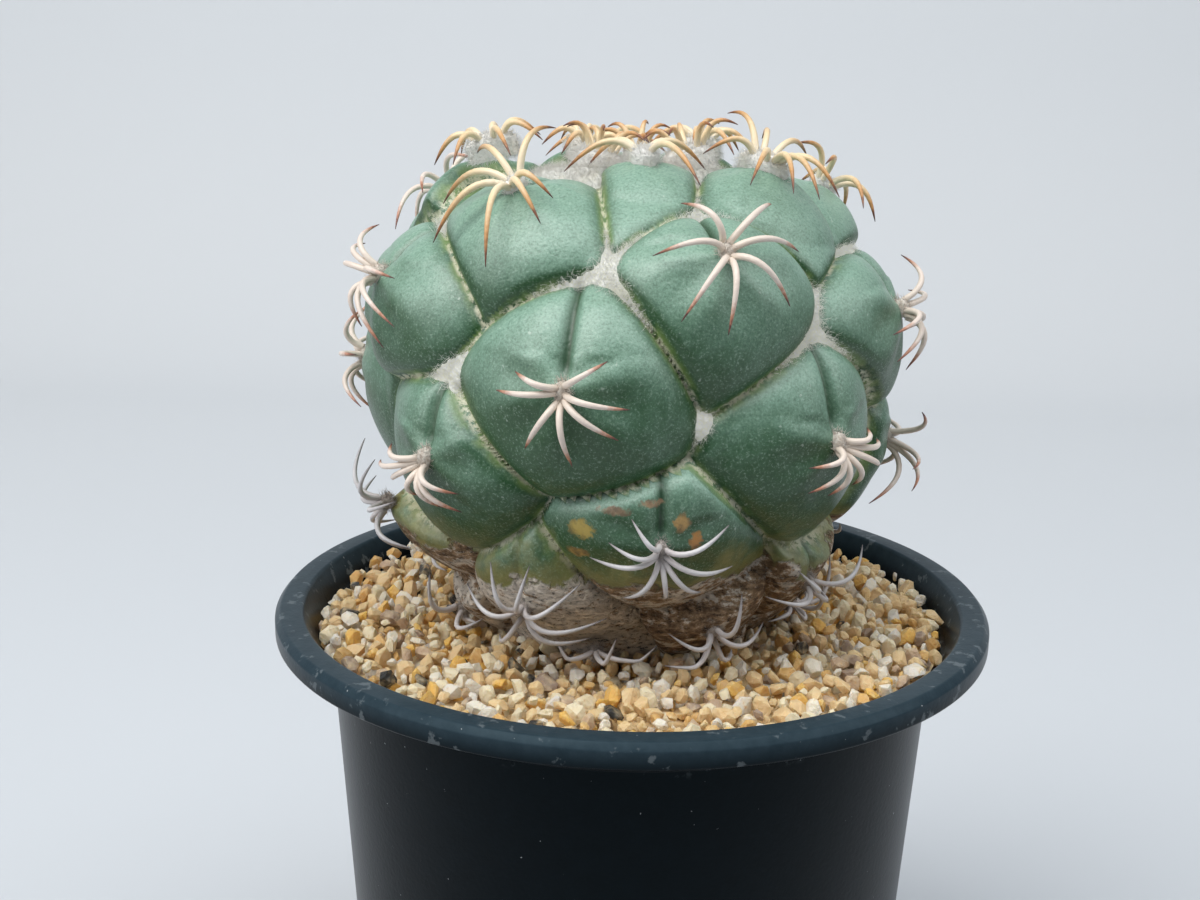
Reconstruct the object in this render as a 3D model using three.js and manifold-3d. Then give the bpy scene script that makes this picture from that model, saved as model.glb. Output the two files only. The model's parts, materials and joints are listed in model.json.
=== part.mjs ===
// A round, tubercled cactus growing in a black plastic nursery pot topped with quartz gravel.
// Millimetres, +Z up, origin at the centre of the pot's underside.
//
// The plant is one grown piece. Its tubercles sit in a spiral, each one golden angle round from
// the last, and every tubercle has a groove on its upper side, a felt pad at its tip with a star
// of spines, and wool in the corner above it.
import * as THREE from "three";
import { mergeVertices } from "three/addons/utils/BufferGeometryUtils.js";
import Module from "manifold-3d";

const wasm = await Module();
wasm.setup();

// ---- Driving dimensions -------------------------------------------------------------------
const GAP = 0.3; // clearance between neighbouring pieces

// Pot
const RIM_RADIUS = 65;
const POT_HEIGHT = 108;
const LIP_DEPTH = 4.6; // height of the rolled lip's outer face
const LIP_FACE = 5.2; // width of the lip's flat top
const LIP_ROUND = 1; // the lip's outer top edge
const LIP_DRAFT = 0.4; // slant of its lower and inner edges
const COLLAR_DEPTH = 5; // sloping collar inside the lip
const COLLAR_RUN = 2.3;
const SHOULDER_DEPTH = 8; // where the collar has stepped in to the wall
const WALL = 1.2;
const WALL_TOP_RADIUS = 55;
const BASE_RADIUS = 48.6;
const FLOOR = 1.8;
const POT_SIDES = 48;
const DRAIN_RADIUS = 4;
const DRAIN_CIRCLE = 36;
const DRAIN_COUNT = 5;
const DRAIN_SIDES = 10;

// Gravel and soil, depths below the top of the rim
const GRAVEL_TOP = 3;
const GRAVEL_BASE = 11;
const GRAVEL_HOLE = 29.4; // radius of the hole that the plant's foot fills
const GRAIN_HEIGHT = 1.9;
const GRAVEL_SIDES = 72;
const GRAVEL_RINGS = 6;
const STONE_SHIFT = 1.6; // how far a stone's peak may stray along the radius
const SOIL_SIDES = 24;
const FACET_CLEARANCE = 0.25; // the wall's flat facets come nearer than its radius
const ROOT_CLEARANCE = 0.6;

// Plant: the surface that the tubercles' tips touch, heights above the top of the rim
const PLANT_OFFSET = -1.3; // the plant stands a little to the left of the pot's centre
const GIRTH_RADIUS = 48.4;
const GIRTH_HEIGHT = 42.9;
const CROWN_RISE = 39.8;
const CROWN_POWER = 2.6;
const BASE_DROP = 54.6;
const BASE_POWER = 2;
const NECK_HEIGHT = -9; // below this the stem narrows into its root
const DIMPLE_DEPTH = 4;
const DIMPLE_RADIUS = 13;
const ROOT = [
  [13, -15],
  [10.5, -24],
  [7.5, -34],
  [4, -42],
  [0, -45.6],
];

// Tubercles: number 14 faces the front, and smaller numbers are younger and nearer the crown
const GOLDEN_ANGLE = 137.508;
const FRONT_TUBERCLE = 14;
const FRONT_ANGLE = -11.7;
const YOUNGEST = -4;
const OLDEST = 38;
// tubercle number, and how far its tip lies from the crown's centre along the surface
const SPIRAL = [
  [-5, 0],
  [-3, 4.5],
  [0, 12.5],
  [4, 24.7],
  [9, 44.8],
  [14, 66.6],
  [22, 91.5],
  [30, 113.8],
  [38, 131],
];
// tubercles that grew out of line: degrees round the plant, and millimetres down it
const STRAYED = {
  1: [6, 0],
  3: [0, 2.5],
  4: [10, 0],
  6: [-5, -1],
  11: [-2, 0],
  12: [5, 1.5],
  17: [3.5, 1],
  19: [2, -1.5],
  22: [-1, 1],
  24: [4, -1.5],
  25: [-9, 6],
  27: [-1, 3],
  30: [-3, 0],
  32: [-6, 0],
  35: [-5, -2],
};
const TIP_LIFT = { 3: 1.8 };
// tubercles whose bulk grew to one side: millimetres along the plant's turn and upward, and how far
// it reaches, as a share of the usual
const BULK = {
  1: [-7.9, 5.8, 1.45],
  3: [2.9, 1.5, 1.18],
  4: [0.2, -7.5, 1.16],
  6: [-11.4, 13.6, 1.19],
  7: [-13.6, 8.9, 0.95],
  9: [5.9, -0.6, 0.67],
  11: [-1.5, 5.7, 0.66],
  12: [-1.7, 5.1, 0.92],
  14: [1.3, 1.8, 0.6],
  17: [10.3, 0.8, 1.08],
  19: [-6, -12.1, 0.94],
  22: [0.9, -7.8, 0.88],
  24: [11.9, -8.2, 0.94],
  25: [1.8, -4.9, 0.98],
  27: [-0.3, 0.5, 1.04],
  30: [-8.1, 10.2, 1.1],
};
const FULL_HALF_WIDTH = 15.5;
const PEAK = 1.5; // how far a full tubercle falls from its tip to its edge: a cone and a dome
const DOME = 1.3;
const DOME_POWER = 2.5;
const WIDEST_DOME = 1.3;
const FOOT_OFFSET = 0.3; // how far its middle sits below its tip, in half widths
const EDGE_DEPTH = 1.9; // its edges roll over into the creases
const EDGE_ROLL = 1.7;
const SLIT_DEPTH = 0.9;
const SLIT_WIDTH = 0.4;
const BLEND = 0.5;
const NEIGHBOURS = 4; // tubercles that shape one place of the skin
const DEEPEST = 8;
const GROOVE_DEPTH = 1.1;
const GROOVE_HOLLOW = 0.8;

const GROOVE_WIDTH = 0.05; // in half widths of the tubercle, as are the next two
const HOLLOW_WIDTH = 0.2;
const GROOVE_START = [-0.02, 0.22];
const LEAST_HALF_WIDTH = 3.2;
const LEAST_SPACING = 1.6;
const AGEING = { from: 24, to: 31, shrink: 0.12, flatten: 0.3 }; // old tubercles wither
const SAGGING = { from: 19, to: 22, squat: 0.15 }; // low tubercles are pressed wide
const BURIED = [120, 132]; // distance down the surface over which the relief ends

const OUTLINE_STEPS = 900;
const OUTLINE_TURN = 0.93 * Math.PI; // from the crown down to just under the neck
const ROOT_STEPS = 8;
const EVEN_STEPS = 1200;
const SMOOTHING = 7; // steps on each side that an outward direction is taken over

const BODY_SIDES = 80;
const BODY_ROWS = 33;
const CROWN_ROW = 5; // distance of the first row from the crown's centre

// Spines
const SPINES = 7;
const SPINE_REACH = 11.4;
const SCATTER = 0.24; // share by which headings and reaches vary
const SPINE_RADIUS = 0.85;
const SPINE_TIP_RADIUS = 0.28;
const SPINE_STATIONS = [0, 0.22, 0.47, 0.74, 1]; // shares of a spine's reach at its bends
const SPINE_ARCH = 3;
const SPINE_DROOP = 2.8; // how far a spine has bent down again 12 mm from its root
const SEAT_SEARCH = 6; // how far outside a tip the search for its seat starts
const OVERSHOOT = 1.1; // a spine that is too near the skin is moved a little more than it lacks
const OLDEST_WITH_SPINES = 35;
const YOUNGEST_WITH_PAD = 0;
const STONE_TOPS = -GRAVEL_TOP + GRAIN_HEIGHT + GAP; // no spine reaches below this
// The stars that face the front: each spine's heading in degrees, 0 down and 90 right, its reach,
// and how far its tip is raised
const HEADINGS = {
  1: [[-135, 11.9], [-94, 13], [29, 15.4], [118, 12.8], [138, 14.5]],
  4: [[-138, 10.9], [-74, 15.8], [-46, 15], [-29, 16.5], [-12, 15.5], [79, 12.7, 3.5], [118, 12.7, 4],
    [153, 12.5, 7]],
  6: [[-175, 14.1, 5], [-116, 13.9, 4], [-80, 15.1], [-33, 15.5], [17, 16.9], [55, 12.2], [79, 9.2]],
  7: [[-157, 11.3, 3.5], [-120, 11.3, 3], [-66, 11.4, 1], [-17, 11.5, 1.5], [35, 11], [90, 11]],
  9: [[-153, 10.7], [-93, 11.4], [-41, 13.6], [-9, 13.2], [46, 12.7], [94, 13.4], [132, 15.7]],
  11: [[-130, 11.5, 1.5], [-108, 11.4, 2], [-85, 11.4, 2.5], [3, 9.2], [40, 13.8], [60, 13.2], [94, 8.6]],
  12: [[-77, 11.2], [-50, 11.6], [5, 11], [59, 10.5], [96, 11.3, 2], [134, 11.4, 2]],
  14: [[-110, 7.8], [-87, 10.6], [-32, 11.1], [8, 11.8], [51, 11.2], [78, 10.6], [126, 8.5]],
  17: [[-67, 7.6], [-37, 9.5], [-6, 8.9], [34, 10.1], [62, 11.6, 1.5], [82, 11.8], [104, 6.5]],
  19: [[-96, 8.1], [-77, 11.6, 1.5], [-58, 10.4], [-19, 7.3], [21, 8.5], [39, 10.5], [57, 8.6]],
  20: [[-130, 11.4, 4], [-77, 11.4, 4.5], [-54, 11.7, 6], [-34, 13.5, 0.5], [40, 11], [100, 11]],
  22: [[-141, 7.9], [-101, 8.4], [-80, 11.1], [-27, 11.6], [8, 10.2], [37, 12.1], [68, 13], [110, 11.2]],
  25: [[-126, 9], [-88, 11], [60, 10], [129, 11.7, 2.5]],
  27: [[-162, 11], [-106, 10.7], [-40, 11.5, 1.5], [53, 11.8], [83, 13.7], [122, 13.4], [161, 11.6]],
  30: [[-99, 8.7], [-62, 9.6, 3.5], [32, 10.1, 4], [84, 10.4], [170, 10.6]],
  32: [[-118, 10.5], [-35, 9.5], [22, 9.5], [98, 10.5], [172, 10.2]],
  35: [[-139, 8.9], [112, 11.7], [152, 9.8]],
};
const WIDEST_FACET = 110; // degrees; a wider gap between two spines gets a bare facet
// Ways to bend a spine that is blocked: swing in radians, share of its reach, share of its arch
const SPINE_TRIES = [
  [0, 1, 1], [0, 1, 1.35], [0.15, 1, 1], [-0.15, 1, 1], [0.25, 0.85, 1.3], [-0.25, 0.85, 1.3],
  [0, 0.75, 1.2], [0, 0.6, 1],
];

// Wool
const CROWN_CENTRE = new THREE.Vector3(0, 0, 76.5);
const CROWN_WOOL = 8;
const CROWN_SPINE_RISE = 6.5;
const CROWN_STATIONS = [0.3, 0.6, 0.85, 1];
const WOOL_WIDE = 9.5;
const WOOL_TALL = 8.5;
const WOOL_THICK = 2.9;
const WOOL_RISE = 1.1; // how far a patch's middle lies above the bottom of its corner
const WOOLLY = [9, 10, 11, 12, 13, 14, 15, 16, 17, 18, 19, 20]; // tubercles with wool above them

// ---- Colours and finishes -----------------------------------------------------------------
const finish = (color, roughness) => new THREE.MeshStandardMaterial({ color, roughness, metalness: 0 });
const MATERIALS = {
  pot: finish(0x14181c, 0.35),
  soil: finish(0x2e2218, 0.95),
  gravel: finish(0xc9a878, 0.7),
  skin: finish(0x5f9078, 0.55),
  wool: finish(0xe9e6d8, 1),
  youngSpine: finish(0xd9b878, 0.5),
  spine: finish(0xcdbfb2, 0.5),
  oldSpine: finish(0xb5b6bb, 0.55),
};

// ---- Helpers ------------------------------------------------------------------------------
// The same seeded draws on every run.
function seededDraws(seed) {
  let state = seed;
  return () => {
    state = (state * 16807) % 2147483647;
    return state / 2147483647;
  };
}

const smoothStep = (low, high, x) => {
  const t = Math.min(Math.max((x - low) / (high - low), 0), 1);
  return t * t * (3 - 2 * t);
};

const radians = THREE.MathUtils.degToRad;

// Straight-line reading of a list of [x, y] pairs.
function readOff(pairs, x) {
  let k = 1;
  while (k < pairs.length - 1 && x > pairs[k][0]) k += 1;
  const [x0, y0] = pairs[k - 1];
  const [x1, y1] = pairs[k];
  return y0 + ((y1 - y0) * (x - x0)) / (x1 - x0);
}

function toSolid(geometry) {
  const bare = geometry.clone();
  bare.deleteAttribute("normal");
  bare.deleteAttribute("uv");
  const merged = mergeVertices(bare, 1e-4);
  const vertProperties = new Float32Array(merged.attributes.position.array);
  const triVerts = new Uint32Array(merged.index.array);
  return new wasm.Manifold(new wasm.Mesh({ numProp: 3, vertProperties, triVerts }));
}

function toGeometry(solid) {
  const mesh = solid.getMesh();
  const geometry = new THREE.BufferGeometry();
  geometry.setAttribute("position", new THREE.BufferAttribute(new Float32Array(mesh.vertProperties), 3));
  geometry.setIndex([...mesh.triVerts]);
  geometry.computeVertexNormals();
  return geometry;
}

// A cut can leave scraps, so only the largest piece is kept.
function largestPiece(solid) {
  const pieces = solid.decompose();
  return pieces.reduce((best, piece) => (piece.volume() > best.volume() ? piece : best));
}

// A closed skin over rows of points that run round an axis, with a point at each end, or with
// its last row joined to its first, as on a ring, where no ends are given.
function ringedSkin(first, rows, last) {
  const sides = rows[0].length;
  const points = rows.flat();
  const faces = [];
  const open = first === null;
  for (let side = 0; side < sides; side += 1) {
    const next = (side + 1) % sides;
    for (let row = 0; row < rows.length - (open ? 0 : 1); row += 1) {
      const here = row * sides;
      const below = ((row + 1) % rows.length) * sides;
      faces.push(here + side, below + side, here + next, here + next, below + side, below + next);
    }
    if (open) continue;
    const base = (rows.length - 1) * sides;
    faces.push(points.length, side, next, base + side, points.length + 1, base + next);
  }
  if (!open) points.push(first, last);
  const geometry = new THREE.BufferGeometry().setFromPoints(points);
  geometry.setIndex(faces);
  geometry.computeVertexNormals();
  return geometry;
}

// ---- The plant's form ---------------------------------------------------------------------
// Outline of the surface that the tips touch, from the crown's centre down to the root's end.
function plantOutline() {
  const outline = [];
  for (let step = 0; step <= OUTLINE_STEPS; step += 1) {
    const angle = Math.PI / 2 - (step / OUTLINE_STEPS) * OUTLINE_TURN;
    const upper = angle >= 0;
    const power = upper ? CROWN_POWER : BASE_POWER;
    const radius = GIRTH_RADIUS * Math.abs(Math.cos(angle)) ** (2 / power);
    const rise = Math.abs(Math.sin(angle)) ** (2 / power);
    const height = GIRTH_HEIGHT + (upper ? CROWN_RISE : -BASE_DROP) * rise;
    if (height < NECK_HEIGHT) break;
    const dimple = upper ? DIMPLE_DEPTH * Math.exp(-((radius / DIMPLE_RADIUS) ** 2)) : 0;
    outline.push([radius, height - dimple]);
  }
  for (const [radius, height] of ROOT) {
    const [fromRadius, fromHeight] = outline[outline.length - 1];
    for (let k = 1; k <= ROOT_STEPS; k += 1) {
      const t = k / ROOT_STEPS;
      outline.push([fromRadius + (radius - fromRadius) * t, fromHeight + (height - fromHeight) * t]);
    }
  }
  return outline;
}

// The same outline, evenly spaced, with its outward direction smoothed.
function evenOutline(outline) {
  const along = [0];
  for (let k = 1; k < outline.length; k += 1) {
    const [r0, z0] = outline[k - 1];
    const [r1, z1] = outline[k];
    along.push(along[k - 1] + Math.hypot(r1 - r0, z1 - z0));
  }
  const length = along[along.length - 1];
  const count = EVEN_STEPS;
  const points = [];
  let k = 1;
  for (let step = 0; step <= count; step += 1) {
    const s = (length * step) / count;
    while (k < along.length - 1 && along[k] < s) k += 1;
    const t = (s - along[k - 1]) / (along[k] - along[k - 1]);
    const [r0, z0] = outline[k - 1];
    const [r1, z1] = outline[k];
    points.push([r0 + (r1 - r0) * t, z0 + (z1 - z0) * t]);
  }
  const clampIndex = (i) => Math.min(Math.max(i, 0), count);
  const outward = points.map((_, i) => {
    const [r0, z0] = points[clampIndex(i - SMOOTHING)];
    const [r1, z1] = points[clampIndex(i + SMOOTHING)];
    const size = Math.hypot(r1 - r0, z1 - z0);
    return [-(z1 - z0) / size, (r1 - r0) / size];
  });
  return { length, count, points, outward };
}

const OUTLINE = evenOutline(plantOutline());

// Where the stem ends and the root begins: its radius, and its distance from the crown.
const NECK_SHARE = 1 - ((GIRTH_HEIGHT - NECK_HEIGHT) / BASE_DROP) ** BASE_POWER;
const NECK_RADIUS = GIRTH_RADIUS * NECK_SHARE ** (1 / BASE_POWER);
const ROOT_LENGTH = [[NECK_RADIUS, NECK_HEIGHT], ...ROOT].reduce((sum, [r, z], k, list) => (
  k === 0 ? 0 : sum + Math.hypot(r - list[k - 1][0], z - list[k - 1][1])), 0);
const NECK = OUTLINE.length - ROOT_LENGTH;

// A place on the tips' surface: the point, its outward direction and its distance from the axis.
function place(azimuth, s) {
  const at = Math.min(Math.max((s / OUTLINE.length) * OUTLINE.count, 0), OUTLINE.count - 1e-6);
  const i = Math.floor(at);
  const t = at - i;
  const mix = (list, j) => list[i][j] * (1 - t) + list[i + 1][j] * t;
  const radius = mix(OUTLINE.points, 0);
  const turn = (r, z) => new THREE.Vector3(r * Math.sin(azimuth), -r * Math.cos(azimuth), z);
  const point = turn(radius, mix(OUTLINE.points, 1));
  const out = turn(mix(OUTLINE.outward, 0), mix(OUTLINE.outward, 1)).normalize();
  return { point, out, radius };
}

function makeTubercle(number) {
  const [turned, lowered] = STRAYED[number] ?? [0, 0];
  const azimuth = radians(FRONT_ANGLE + GOLDEN_ANGLE * (number - FRONT_TUBERCLE) + turned);
  const s = readOff(SPIRAL, number) + lowered;
  const { point, out, radius } = place(azimuth, s);
  const toNext = readOff(SPIRAL, number + 0.5) - readOff(SPIRAL, number - 0.5);
  const area = 2 * Math.PI * radius * Math.max(toNext, LEAST_SPACING);
  const halfWidth = Math.max(LEAST_HALF_WIDTH, 0.5 * Math.sqrt(area));
  const side = new THREE.Vector3(Math.cos(azimuth), Math.sin(azimuth), 0);
  const up = new THREE.Vector3().crossVectors(out, side);
  const old = smoothStep(AGEING.from, AGEING.to, number);
  const low = SAGGING.squat * smoothStep(SAGGING.from, SAGGING.to, number);
  const width = halfWidth * (1 - AGEING.shrink * old);
  const middle = point.clone().addScaledVector(up, -(FOOT_OFFSET - low) * width);
  const [aside, upward, share] = BULK[number] ?? [0, 0, 1];
  return {
    number, azimuth, s, point, out, side, up, width, middle,
    squat: 1 + low,
    foot: middle.clone().addScaledVector(side, aside).addScaledVector(up, upward),
    reach: width * share,
    size: (halfWidth / FULL_HALF_WIDTH) ** 0.8 * (1 - AGEING.flatten * old),
    lift: TIP_LIFT[number] ?? 0,
    groove: (1 - old) * (width / FULL_HALF_WIDTH),
  };
}

const TUBERCLES = [];
for (let number = YOUNGEST; number <= OLDEST; number += 1) TUBERCLES.push(makeTubercle(number));

// One tubercle's own surface at a point: its depth under the tips' surface, and how far the point
// lies from the tubercle's foot, in reaches.
function ownSurface(tubercle, point) {
  const { width, reach, side, up, out, squat } = tubercle;
  const fromTip = point.clone().sub(tubercle.point);
  const fromFoot = point.clone().sub(tubercle.foot);
  const toTip = fromTip.length() / width;
  const fromMiddle = Math.min(point.distanceTo(tubercle.middle) / width, WIDEST_DOME);
  const toFoot = Math.hypot(
    fromFoot.dot(out),
    fromFoot.dot(side) / squat,
    fromFoot.dot(up) * squat,
  ) / reach;
  const fall = PEAK * (Math.sqrt(toTip * toTip + 0.03) - 0.17) + DOME * fromMiddle ** DOME_POWER;
  const across = fromTip.dot(side) / width;
  const line = GROOVE_DEPTH * Math.exp(-((across / GROOVE_WIDTH) ** 2));
  const hollow = GROOVE_HOLLOW * Math.exp(-((across / HOLLOW_WIDTH) ** 2));
  const above = smoothStep(...GROOVE_START, fromTip.dot(up) / width);
  const depth = tubercle.size * fall - tubercle.lift + (line + hollow) * above * tubercle.groove;
  return { tubercle, toFoot, depth };
}

// The skin's depth. A place belongs to the tubercle whose foot is nearest, and the skin rolls over
// into a crease where two of them meet.
function skinDepth(point) {
  const near = TUBERCLES.map((tubercle) => ownSurface(tubercle, point))
    .sort((a, b) => a.toFoot - b.toFoot)
    .slice(0, NEIGHBOURS);
  const reach = (near[0].tubercle.reach + near[1].tubercle.reach) / 2;
  const apart = near.map(({ toFoot }) => ((toFoot - near[0].toFoot) * reach) / 2);
  const shares = apart.map((gap) => Math.exp(-gap / BLEND));
  const whole = shares.reduce((sum, share) => sum + share, 0);
  const blended = (valueOf) => near.reduce((sum, one, k) => sum + (shares[k] / whole) * valueOf(one), 0);
  const size = blended(({ tubercle }) => tubercle.size);
  const rolled = apart.slice(1).reduce((sum, gap) => (
    sum + EDGE_DEPTH * size * Math.exp(-gap / (EDGE_ROLL * size))), 0);
  const slit = SLIT_DEPTH * Math.exp(-apart[1] / SLIT_WIDTH);
  const depth = blended((one) => one.depth) + rolled + slit;
  return -Math.log(Math.exp(-depth) + Math.exp(-DEEPEST));
}

// A point of the skin, or of a copy of it that is grown outward by the given amount.
function skinPoint(azimuth, s, grown = 0) {
  const { point, out } = place(azimuth, s);
  const buried = smoothStep(...BURIED, s);
  return point.addScaledVector(out, grown - skinDepth(point) * (1 - buried));
}

// ---- Sub-parts ----------------------------------------------------------------------------
function potGeometry() {
  const top = POT_HEIGHT;
  const collarRadius = RIM_RADIUS - LIP_FACE;
  const innerTop = WALL_TOP_RADIUS - WALL;
  const profile = [
    [0, 0],
    [BASE_RADIUS, 0],
    [WALL_TOP_RADIUS, top - SHOULDER_DEPTH - WALL],
    [collarRadius - COLLAR_RUN + WALL, top - COLLAR_DEPTH - WALL],
    [collarRadius + WALL, top - LIP_DEPTH * 0.6],
    [RIM_RADIUS - WALL, top - LIP_DEPTH * 0.7],
    [RIM_RADIUS - WALL, top - LIP_DEPTH],
    [RIM_RADIUS, top - LIP_DEPTH + LIP_DRAFT],
    [RIM_RADIUS, top - 1.2 * LIP_ROUND],
    [RIM_RADIUS - LIP_ROUND, top],
    [collarRadius + LIP_DRAFT, top],
    [collarRadius, top - 1.25 * LIP_DRAFT],
    [collarRadius - COLLAR_RUN, top - COLLAR_DEPTH],
    [innerTop, top - SHOULDER_DEPTH],
    [BASE_RADIUS - WALL, FLOOR],
    [0, FLOOR],
  ].map(([r, z]) => new THREE.Vector2(r, z));
  const shell = new THREE.LatheGeometry(profile, POT_SIDES).rotateX(Math.PI / 2);
  let pot = toSolid(shell);
  for (let k = 0; k < DRAIN_COUNT; k += 1) {
    const angle = (2 * Math.PI * k) / DRAIN_COUNT;
    const drill = new THREE.CylinderGeometry(DRAIN_RADIUS, DRAIN_RADIUS, 6 * FLOOR, DRAIN_SIDES);
    drill.rotateX(Math.PI / 2);
    drill.translate(DRAIN_CIRCLE * Math.cos(angle), DRAIN_CIRCLE * Math.sin(angle), 0);
    pot = pot.subtract(toSolid(drill));
  }
  return toGeometry(pot);
}

// The pot's inside radius at a height.
function insideRadius(height) {
  const top = POT_HEIGHT;
  const collarRadius = RIM_RADIUS - LIP_FACE;
  return readOff(
    [
      [FLOOR, BASE_RADIUS - WALL],
      [top - SHOULDER_DEPTH, WALL_TOP_RADIUS - WALL],
      [top - COLLAR_DEPTH, collarRadius - COLLAR_RUN],
      [top - 1.25 * LIP_DRAFT, collarRadius],
    ],
    height,
  );
}

// The root's radius at a depth below the rim, for the plain hole that it stands in.
function rootRadius(depth) {
  const pairs = [[-NECK_HEIGHT, NECK_RADIUS], ...ROOT.map(([radius, height]) => [-height, radius])];
  return readOff(pairs, depth);
}

function soilGeometry() {
  const low = FLOOR + GAP;
  const high = POT_HEIGHT - GRAVEL_BASE - GAP;
  const sideGap = GAP + FACET_CLEARANCE;
  const lathe = (pairs) => {
    const profile = pairs.map(([r, z]) => new THREE.Vector2(r, z));
    return new THREE.LatheGeometry(profile, SOIL_SIDES).rotateX(Math.PI / 2);
  };
  const fill = lathe([
    [0, low],
    [insideRadius(low) - sideGap, low],
    [insideRadius(high) - sideGap, high],
    [0, high],
  ]);
  const [tipRadius, tipHeight] = ROOT[ROOT.length - 1];
  const hole = lathe([
    [0, tipHeight - ROOT_CLEARANCE],
    ...ROOT.slice(0, -1).reverse().map(([r, z]) => [r + ROOT_CLEARANCE, z]),
    [rootRadius(GRAVEL_BASE) + ROOT_CLEARANCE, -GRAVEL_BASE],
    [tipRadius, -GRAVEL_BASE],
  ]).translate(PLANT_OFFSET, 0, POT_HEIGHT);
  return toGeometry(toSolid(fill).subtract(toSolid(hole)));
}

// The gravel's ring, larger than life: on its top every second point of the net is a stone's
// peak, shifted and raised by a seeded draw. The plant stands in the plain hole in its middle.
function gravelGeometry() {
  const draw = seededDraws(31);
  const clearance = GAP + FACET_CLEARANCE;
  const ring = (radius, depth, row = 0, shift = 0) => {
    const points = [];
    for (let side = 0; side < GRAVEL_SIDES; side += 1) {
      const peak = (side + row) % 2 === 0;
      const angle = (2 * Math.PI * (side + (row ? 0.5 * (draw() - 0.5) : 0))) / GRAVEL_SIDES;
      const reach = radius + (row ? STONE_SHIFT * (draw() - 0.5) : 0);
      const raised = peak ? GRAIN_HEIGHT * (0.6 + 0.4 * draw()) : -0.3 * draw();
      points.push(new THREE.Vector3(
        reach * Math.cos(angle) + shift,
        reach * Math.sin(angle),
        POT_HEIGHT - depth + (row ? raised : 0),
      ));
    }
    return points;
  };
  const beside = (depth) => insideRadius(POT_HEIGHT - depth) - clearance;
  const outer = beside(GRAVEL_TOP) - 1.4;
  const inner = GRAVEL_HOLE + 0.9;
  const rows = [ring(GRAVEL_HOLE, GRAVEL_TOP + 0.8, 0, PLANT_OFFSET)];
  for (let k = 0; k <= GRAVEL_RINGS; k += 1) {
    const t = k / GRAVEL_RINGS;
    rows.push(ring(inner + (outer - inner) * t, GRAVEL_TOP, k + 2, PLANT_OFFSET * (1 - t)));
  }
  for (const depth of [GRAVEL_TOP + 0.6, COLLAR_DEPTH, SHOULDER_DEPTH, GRAVEL_BASE]) {
    rows.push(ring(beside(depth), depth));
  }
  rows.push(ring(GRAVEL_HOLE, GRAVEL_BASE, 0, PLANT_OFFSET));
  return ringedSkin(null, rows, null);
}

// The stem and its tapering root. The root's rows lie at the corners of its outline.
function bodyGeometry(grown = 0) {
  const rowAt = (s) => {
    const row = [];
    for (let side = 0; side < BODY_SIDES; side += 1) {
      row.push(skinPoint((2 * Math.PI * side) / BODY_SIDES, s, grown));
    }
    return row;
  };
  const rows = [];
  for (let k = 0; k < BODY_ROWS; k += 1) {
    rows.push(rowAt(CROWN_ROW + ((NECK - CROWN_ROW) * k) / (BODY_ROWS - 1)));
  }
  let s = NECK;
  for (let k = 0; k < ROOT.length - 1; k += 1) {
    const [r0, z0] = k === 0 ? [NECK_RADIUS, NECK_HEIGHT] : ROOT[k - 1];
    s += Math.hypot(ROOT[k][0] - r0, ROOT[k][1] - z0);
    rows.push(rowAt(s));
  }
  return ringedSkin(skinPoint(0, 0, grown), rows, skinPoint(0, OUTLINE.length, grown));
}

// ---- Spines, pads and wool ----------------------------------------------------------------
// How far a point of the plant's frame lies outside the skin.
function clearOfSkin(point) {
  const radius = Math.hypot(point.x, point.y);
  let nearest = 0;
  let least = Infinity;
  OUTLINE.points.forEach(([r, z], i) => {
    const away = (r - radius) ** 2 + (z - point.z) ** 2;
    if (away < least) {
      least = away;
      nearest = i;
    }
  });
  const s = (OUTLINE.length * nearest) / OUTLINE.count;
  const azimuth = Math.atan2(point.x, -point.y);
  const skin = skinPoint(azimuth, s);
  return point.clone().sub(skin).dot(place(azimuth, s).out);
}

// The triangles round a spine's line, apex outward. Their corners run top, left, right.
function spineRows(line, out, baseRadius) {
  const last = line.length - 1;
  return line.slice(1, last).map((point, k) => {
    const along = new THREE.Vector3().subVectors(line[k + 2], line[k]).normalize();
    const top = out.clone().addScaledVector(along, -out.dot(along)).normalize();
    const left = new THREE.Vector3().crossVectors(along, top);
    const radius = baseRadius + ((SPINE_TIP_RADIUS - baseRadius) * k) / (last - 1);
    return [0, 1, 2].map((c) => point.clone()
      .addScaledVector(top, radius * Math.cos((2 * Math.PI * c) / 3))
      .addScaledVector(left, radius * Math.sin((2 * Math.PI * c) / 3)));
  });
}

// A spine's line: it leaves the pad, arches out and bends its tip back towards the plant.
function spineLine(tubercle, turn, reach, raised, arch) {
  const heading = tubercle.side.clone().multiplyScalar(Math.sin(turn))
    .addScaledVector(tubercle.up, -Math.cos(turn));
  const rooted = 0.7 * padSize(tubercle.number);
  return SPINE_STATIONS.map((t) => {
    const rise = 0.7 + tubercle.lift + arch * Math.sin(Math.PI * t ** 0.75 * 0.92) + raised * t
      - SPINE_DROOP * ((t * reach) / 12) ** 2;
    return tubercle.point.clone()
      .addScaledVector(heading, rooted + (reach - rooted) * t)
      .addScaledVector(tubercle.out, rise);
  });
}

const LINE_SAMPLES = [0, 0.25, 0.5, 0.75, 1];

// The least distance between two lines of points.
function distanceBetween(lineA, lineB) {
  let least = Infinity;
  const samples = (line) => line.slice(1).flatMap((point, k) => (
    LINE_SAMPLES.map((t) => new THREE.Vector3().lerpVectors(line[k], point, t))
  ));
  const samplesB = samples(lineB);
  for (const a of samples(lineA)) {
    for (const b of samplesB) least = Math.min(least, a.distanceTo(b));
  }
  return least;
}

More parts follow.
